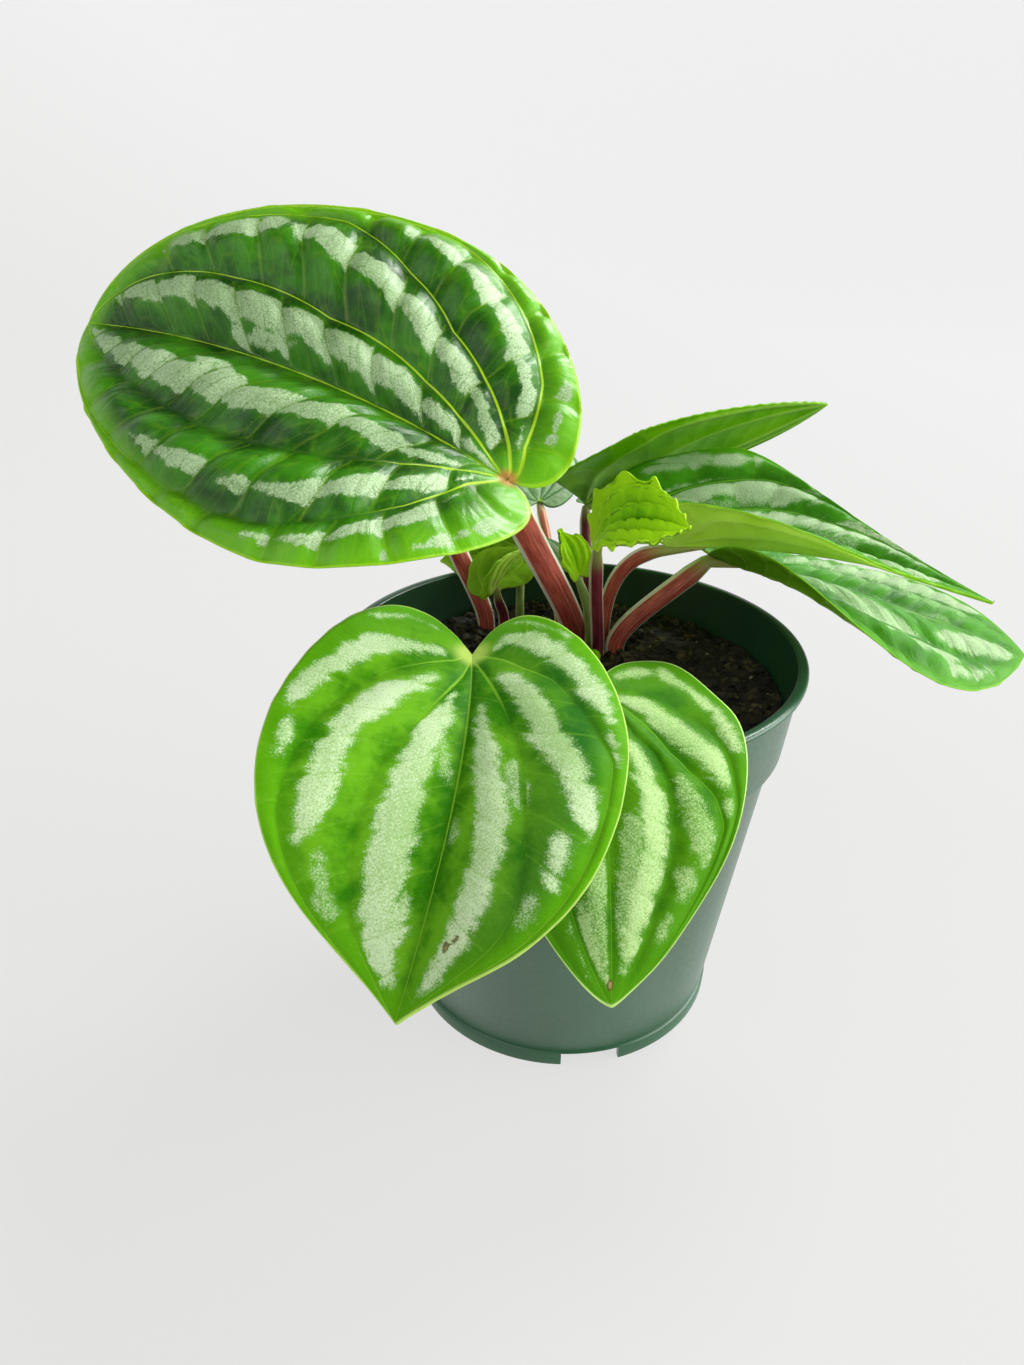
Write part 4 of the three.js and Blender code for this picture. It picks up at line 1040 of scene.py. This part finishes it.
BRIGHT = leaf_top(
    "fresh_silver_banded_leaf", deep="#2c6c04", fresh="#4e8c0c", edge="#4a8c0a", silver="#90bc68",
    lit="#cce4a8", vein="#5c9c1c", rim="#b4d878", haze=0.55, cut=0.06, relief=0.15, sheen=0.04,
    crisp=1.8, vein_mm=0.13, spacing=7.0)
SATIN = leaf_top(
    "satin_banded_leaf", deep="#2e7004", fresh="#48941a", edge="#4e9810", silver="#94b680",
    lit="#c4dcae", vein="#66a828", rim="#7cba20", gloss=0.35, sheen=0.08, glint=0.7, crisp=1.5,
    feather=1.4, cut=0.15, vein_mm=0.16)
PALE = leaf_top(
    "pale_silver_leaf", deep="#6d9c60", fresh="#8cb07c", edge="#9cc08e", silver="#a9c0a0",
    lit="#cbdcc0", vein="#5c8a4e", rim="#4f7a44", glint=0.4)
YOUNG = leaf_top(
    "lime_young_leaf", deep="#4e9600", fresh="#84c808", edge="#9cd810", silver="#8fcf30",
    lit="#a8dc4a", vein="#a4d81c", rim="#b0e42c", gloss=0.3, haze=0.0, cross_tint=0.25, spacing=3.2)
YOUNG_MATT = leaf_top(
    "yellow_green_young_leaf", deep="#568e08", fresh="#70a618", edge="#88bc22", silver="#8fc040",
    lit="#a4cc58", vein="#9cc43c", rim="#a0cc40", haze=0.0, cross_tint=0.2, spacing=3.0)
RED = petiole("red_ribbed_petiole", "#d87460", "#943026", "#e4e2c8", "#9cae58")
MAROON = petiole("maroon_ribbed_petiole", "#8c3442", "#501624", "#c8c5a6", "#8a9c50")
SALMON = petiole("salmon_petiole", "#d98a5c", "#b8643c", "#dcc8a0", "#b4b878")
GREEN = petiole("pale_green_petiole", "#8fae54", "#6f9038", "#bccf8c", "#8cb44c")

# name: top, underside, leaf slot, stalk, stalk slot
FINISHES = {
    "high_left": (QUILTED, UNDER, "leaf", RED, "red_stalk"),
    "front_left": (MATT, UNDER, "leaf", RED, "red_stalk"),
    "front_right": (BRIGHT, UNDER, "leaf", RED, "red_stalk"),
    "right_upper": (SATIN, UNDER_LIME, "leaf", RED, "red_stalk"),
    "right_lower": (SATIN, UNDER, "leaf", RED, "red_stalk"),
    "back_right": (SATIN, UNDER_BRIGHT, "leaf", MAROON, "red_stalk"),
    "back_left": (SATIN, UNDER, "leaf", RED, "red_stalk"),
    "young_folded": (YOUNG, UNDER_YOUNG, "young_leaf", MAROON, "red_stalk"),
    "back_pale": (PALE, UNDER, "leaf", SALMON, "red_stalk"),
    "inner_left": (YOUNG_MATT, UNDER_YOUNG, "young_leaf", GREEN, "green_stalk"),
    "inner_cupped": (YOUNG_MATT, UNDER_YOUNG, "young_leaf", MAROON, "red_stalk"),
    "inner_grey": (PALE, UNDER, "leaf", MAROON, "red_stalk"),
    "inner_tiny": (YOUNG, UNDER_YOUNG, "young_leaf", GREEN, "green_stalk"),
}

for name, own in LEAVES.items():
    leaf = {**SHAPE, **own}
    leaf.setdefault("silver", [] if leaf["steps"] else even_silver(leaf))
    top_finish, under_finish, slot, stalk_finish, stalk_slot = FINISHES[name]
    make_blade(name, leaf, top_finish, under_finish)
    make_stalk(name, leaf, stalk_finish)


# ------------------------------------------------------------------ the pot
FOOT_RADIUS = 37.3
NOTCHES = 4
FIRST_NOTCH = -77.6             # degrees from the right, turning left
NOTCH_SIZE = (12, 13.6, 7.2)    # through the foot ring, along it, and high, half of that below the foot
DRAIN_OUT, DRAIN_RADIUS, DRAIN_DEPTH = 26, 4, 9
FLOOR = 3.7                     # height of the underside of the pot's floor


def make_pot():
    # Foot ring, lower step, wall, collar, rolled rim, and back down the inside to the floor.
    profile = [
        (35.4, 3.7), (35.8, 3.3), (35.8, 0.3), (36.1, 0), (37.0, 0), (37.3, 0.3), (37.45, 3.2), (37.3, 3.6),
        (36.85, 3.9), (36.85, 4.3), (37.1, 4.7), (46.6, 69.8), (47.0, 70.3), (47.6, 70.6), (48.2, 71.0),
        (48.6, 71.8), (50.5, 87.9), (50.7, 88.25), (51.5, 88.35), (51.85, 88.6), (52.0, 89.0), (52.0, 89.4),
        (51.8, 89.8), (51.4, 90), (50.2, 90), (49.7, 89.7), (49.4, 88.2), (47.1, 72.8), (45.3, 70.4),
        (35.3, 5.5), (34.9, 5.2),
    ]
    piece = turned("nursery_pot", profile, 128)
    for i in range(NOTCHES):
        angle = math.radians(FIRST_NOTCH + 360 / NOTCHES * i)
        way = Vector((math.cos(angle), math.sin(angle), 0))
        deselect()
        bpy.ops.mesh.primitive_cube_add(size=1, location=AXIS + way * FOOT_RADIUS * MM,
                                        rotation=(0, 0, angle))
        bpy.context.object.scale = [length * MM for length in NOTCH_SIZE]
        cut(piece, take("notch"))
        deselect()
        bpy.ops.mesh.primitive_cylinder_add(
            vertices=32, radius=DRAIN_RADIUS * MM, depth=DRAIN_DEPTH * MM,
            location=AXIS + way * DRAIN_OUT * MM + Vector((0, 0, FLOOR * MM)))
        cut(piece, take("drain"))
    smooth(piece, 40)
    piece.data.materials.append(pot_plastic("moulded_green_polypropylene", "#264f34", "#2d5a3d", 0.25))
    piece.data.materials.append(pot_plastic("painted_shade_inner_polypropylene", "#173c22", "#1e4629", 0.1))
    # The second finish, a darker copy of the plastic that is painted shade inside the pot, goes on the
    # faces of the wall that look inwards.
    for face in piece.data.polygons:
        out = face.center - AXIS
        if out.xy.length > 20 * MM and face.normal.xy.dot(out.xy) < -0.5 * out.xy.length:
            face.material_index = 1
    finish_piece(piece, "pot")


# ------------------------------------------------------------------ the soil
def bumpy(x, y, octaves, seed):
    return sum(height * ripple(x, y, size, seed + i) for i, (size, height) in enumerate(octaves))


def soil_height(x, y):
    r = np.hypot(x, y)
    lumps = bumpy(x, y, [(34, 0.6), (13, 0.5), (6, 0.45), (3, 0.3), (1.7, 0.22)], 50)
    return SOIL_TOP + 0.2 + lumps - 0.8 * np.clip((r - 40) / 8, 0, 1) ** 2


SOIL_RADIUS = 47.7
SOIL_FLOOR = 5.6
# The side of the fill, from its top edge down: (drop in mm, share of the radius kept at each step)
SOIL_SIDE = [(6, 0.985), (3.5, 0.955), (60, 0.76)]


def make_soil():
    piece, a, b = grid("peat_fill", 210, 210)
    p, q = 2 * a - 1, 2 * b - 1
    # The square's rings become circles, so that the disc has no pinched middle.
    ring = np.maximum(np.abs(p), np.abs(q))
    turn = np.arctan2(q, p)
    radius = SOIL_RADIUS * ring
    x, y = radius * np.cos(turn), radius * np.sin(turn)
    set_places(piece.data, in_frame(np.stack([x, y, soil_height(x, y)], 1)))
    bpy.ops.object.mode_set(mode="EDIT")
    bpy.ops.mesh.select_mode(type="EDGE")
    bpy.ops.mesh.select_all(action="DESELECT")
    bpy.ops.mesh.select_non_manifold()
    for drop, share in SOIL_SIDE:
        bpy.ops.mesh.extrude_edges_move(TRANSFORM_OT_translate={"value": (0, 0, -drop * MM)})
        bpy.ops.transform.resize(value=(share, share, 1), center_override=tuple(AXIS))
    bpy.ops.mesh.edge_face_add()
    bpy.ops.mesh.select_all(action="SELECT")
    bpy.ops.mesh.normals_make_consistent(inside=False)
    bpy.ops.object.mode_set(mode="OBJECT")
    mesh = piece.data
    flat = places(mesh)
    flat[:, 2] = np.maximum(flat[:, 2], AXIS.z + SOIL_FLOOR * MM)
    set_places(mesh, flat)
    smooth(piece)
    mesh.materials.append(peat("damp_peat", "#0f0b06", "#463c24"))
    finish_piece(piece, "soil")


def scatter(name, count, sizes, squash, finish, seed, spread=46.5):
    """Angular crumbs strewn over the peat, each from a twenty-faced lump with its corners moved."""
    rng = random.Random(seed)
    deselect()
    bpy.ops.mesh.primitive_ico_sphere_add(subdivisions=1, radius=1)
    lump = take("crumb")
    base = places(lump.data)
    faces = [tuple(face.vertices) for face in lump.data.polygons]
    bpy.data.objects.remove(lump, do_unlink=True)
    points, polygons = [], []
    for _ in range(count):
        r, turn = spread * math.sqrt(rng.random()), rng.uniform(0, math.tau)
        x, y = r * math.cos(turn), r * math.sin(turn)
        size = rng.uniform(*sizes)
        z = float(soil_height(np.array([x]), np.array([y]))[0])
        shape = np.array([size * rng.uniform(*limits) for limits in squash])
        heading = Matrix.Rotation(rng.uniform(0, math.tau), 3, "Z")
        spin = np.array(heading @ Matrix.Rotation(rng.uniform(-0.5, 0.5), 3, "X"))
        corners = base * np.array([[rng.uniform(0.7, 1.25)] for _ in base]) * shape
        start_at = len(points)
        points.extend((corners @ spin.T + (x, y, z + 0.25 * size * squash[2][0])).tolist())
        polygons.extend(tuple(start_at + k for k in face) for face in faces)
    mesh = bpy.data.meshes.new(name)
    mesh.from_pydata(in_frame(points).tolist(), [], polygons)
    piece = bpy.data.objects.new(name, mesh)
    bpy.context.scene.collection.objects.link(piece)
    mesh.materials.append(finish)
    finish_piece(piece, "soil")


make_pot()
make_soil()
# name, how many, size in mm, limits of length, width and height as shares of it, finish, seed
for name, count, sizes, squash, finish, seed in (
    ("peat_crumbs", 1100, (0.5, 1.7), ((0.7, 1.4), (0.6, 1.1), (0.5, 0.9)),
     ("peat_crumb", "#0f0b06", "#75683c"), 71),
    ("perlite_bits", 70, (0.3, 0.8), ((0.8, 1.3), (0.7, 1.1), (0.6, 0.9)),
     ("dusty_perlite", "#7a7050", "#b8ae8a"), 72),
    ("bark_chips", 26, (0.9, 2.2), ((1.2, 2.2), (0.4, 0.7), (0.25, 0.45)),
     ("pine_bark", "#33261a", "#7a6238"), 73),
):
    scatter(name, count, sizes, squash, peat(*finish), seed)


# ------------------------------------------------------------------ the bud
BUD_FOOT = (5.8, 10.2, 79.6)
BUD_HEIGHT = 4.4
BUD_FRILLS = 7
# (share of its height, radius in mm)
BUD_PROFILE = [(0, 0.7), (0.2, 1.2), (0.45, 1.5), (0.7, 1.35), (0.85, 1.0), (1, 0.0)]


def make_bud():
    piece, a, b = grid("bud_frill", 56, 18)
    foot_x, foot_y, foot_z = BUD_FOOT
    turn = a * math.tau
    folds = np.cos(BUD_FRILLS * turn)
    radius = np.interp(b, *zip(*BUD_PROFILE))
    radius *= 1 + 0.16 * folds * np.clip(b * 3, 0, 1) * (b < 0.99)
    radius[b < 0.001] = 0
    x = foot_x + radius * np.cos(turn)
    y = foot_y + radius * np.sin(turn)
    z = foot_z + b * BUD_HEIGHT + 0.35 * folds * np.clip(b * 2, 0, 1) * (1 - b) * 2
    set_places(piece.data, in_frame(np.stack([x, y, z], 1)))
    # The marks that a leaf's finish reads, set far from any vein, margin, silver or scar.
    marks = dict(silver=-9, haze=-9, vein=5, phase=0.5, rim=5, run=0.5, ridge=0.5, side=0, scar=9)
    for key, number in marks.items():
        mark(piece.data, key, np.full(len(z), float(number)))
    weld(piece, 2e-6, outward=True)
    smooth(piece)
    piece.data.materials.append(YOUNG)
    finish_piece(piece, "bud")


make_bud()


# ------------------------------------------------------------------ floor, light and camera
SHEET_SIZE = 8        # metres, as the next three are
FLAT_RADIUS = 1.2
LONGEST_CLIMB = 3
CLEARANCE = 0.0002    # under the pot's foot
STEEPNESS = 0.32      # height of the sheet one metre into its climb


def make_stage():
    """A seamless sheet: flat under the pot, sweeping up far off all round."""
    piece, a, b = grid("pale_sweep", 60, 60)
    x, y = SHEET_SIZE * (a - 0.5), SHEET_SIZE * (b - 0.5)
    climb = np.clip(np.hypot(x, y) - FLAT_RADIUS, 0, LONGEST_CLIMB)
    set_places(piece.data, np.stack([x, y, STEEPNESS * climb**2 - CLEARANCE], 1))
    smooth(piece)
    piece.data.materials.append(lit_sheet())


make_stage()

world = bpy.data.worlds.new("soft_studio")
bpy.context.scene.world = world
world.use_nodes = True
sky = world.node_tree.nodes["Background"]
sky.inputs["Color"].default_value = colour("#f4f4f4")
sky.inputs["Strength"].default_value = 0.2


def soft_sun(name, place, spread, power):
    """A broad, even light from far off in the direction of `place`."""
    deselect()
    bpy.ops.object.light_add(type="SUN", location=place)
    lamp = bpy.context.object
    lamp.name = name
    lamp.data.angle = math.radians(spread)
    lamp.data.energy = power
    lamp.rotation_euler = Vector(place).to_track_quat("Z", "Y").to_euler()


# name, way it comes from, spread in degrees, power
for lamp in (
    ("window", (0.5, 0.62, 0.66), 20, 2.4),
    ("front_fill", (-0.5, -0.6, 0.62), 50, 0.9),
    ("right_fill", (0.9, -0.2, 0.6), 50, 0.5),
):
    soft_sun(*lamp)

YAW, PITCH, ROLL = math.radians(-3.5), math.radians(27.45), math.radians(0.25)
CAMERA = Vector((0, -0.207, 0.1875))        # metres from the pot's axis and foot
FOCAL, PHOTO_HEIGHT = 1025, 1365            # pixels of the photo
SENSOR = 36                                 # mm, the longer side

forward = Vector((math.sin(YAW) * math.cos(PITCH), math.cos(YAW) * math.cos(PITCH), -math.sin(PITCH)))
level = forward.cross(Vector((0, 0, 1))).normalized()
upright = level.cross(forward)
right = math.cos(ROLL) * level + math.sin(ROLL) * upright
up = -math.sin(ROLL) * level + math.cos(ROLL) * upright
camera_data = bpy.data.cameras.new("photo_camera")
camera = bpy.data.objects.new("photo_camera", camera_data)
bpy.context.scene.collection.objects.link(camera)
camera_data.sensor_width = SENSOR
camera_data.lens = FOCAL / PHOTO_HEIGHT * SENSOR
camera_data.clip_start = 0.005
facing = Matrix((right, up, -forward)).transposed().to_4x4()
camera.matrix_world = Matrix.Translation(AXIS + CAMERA) @ facing
bpy.context.scene.camera = camera
bpy.context.scene.view_settings.view_transform = "Standard"
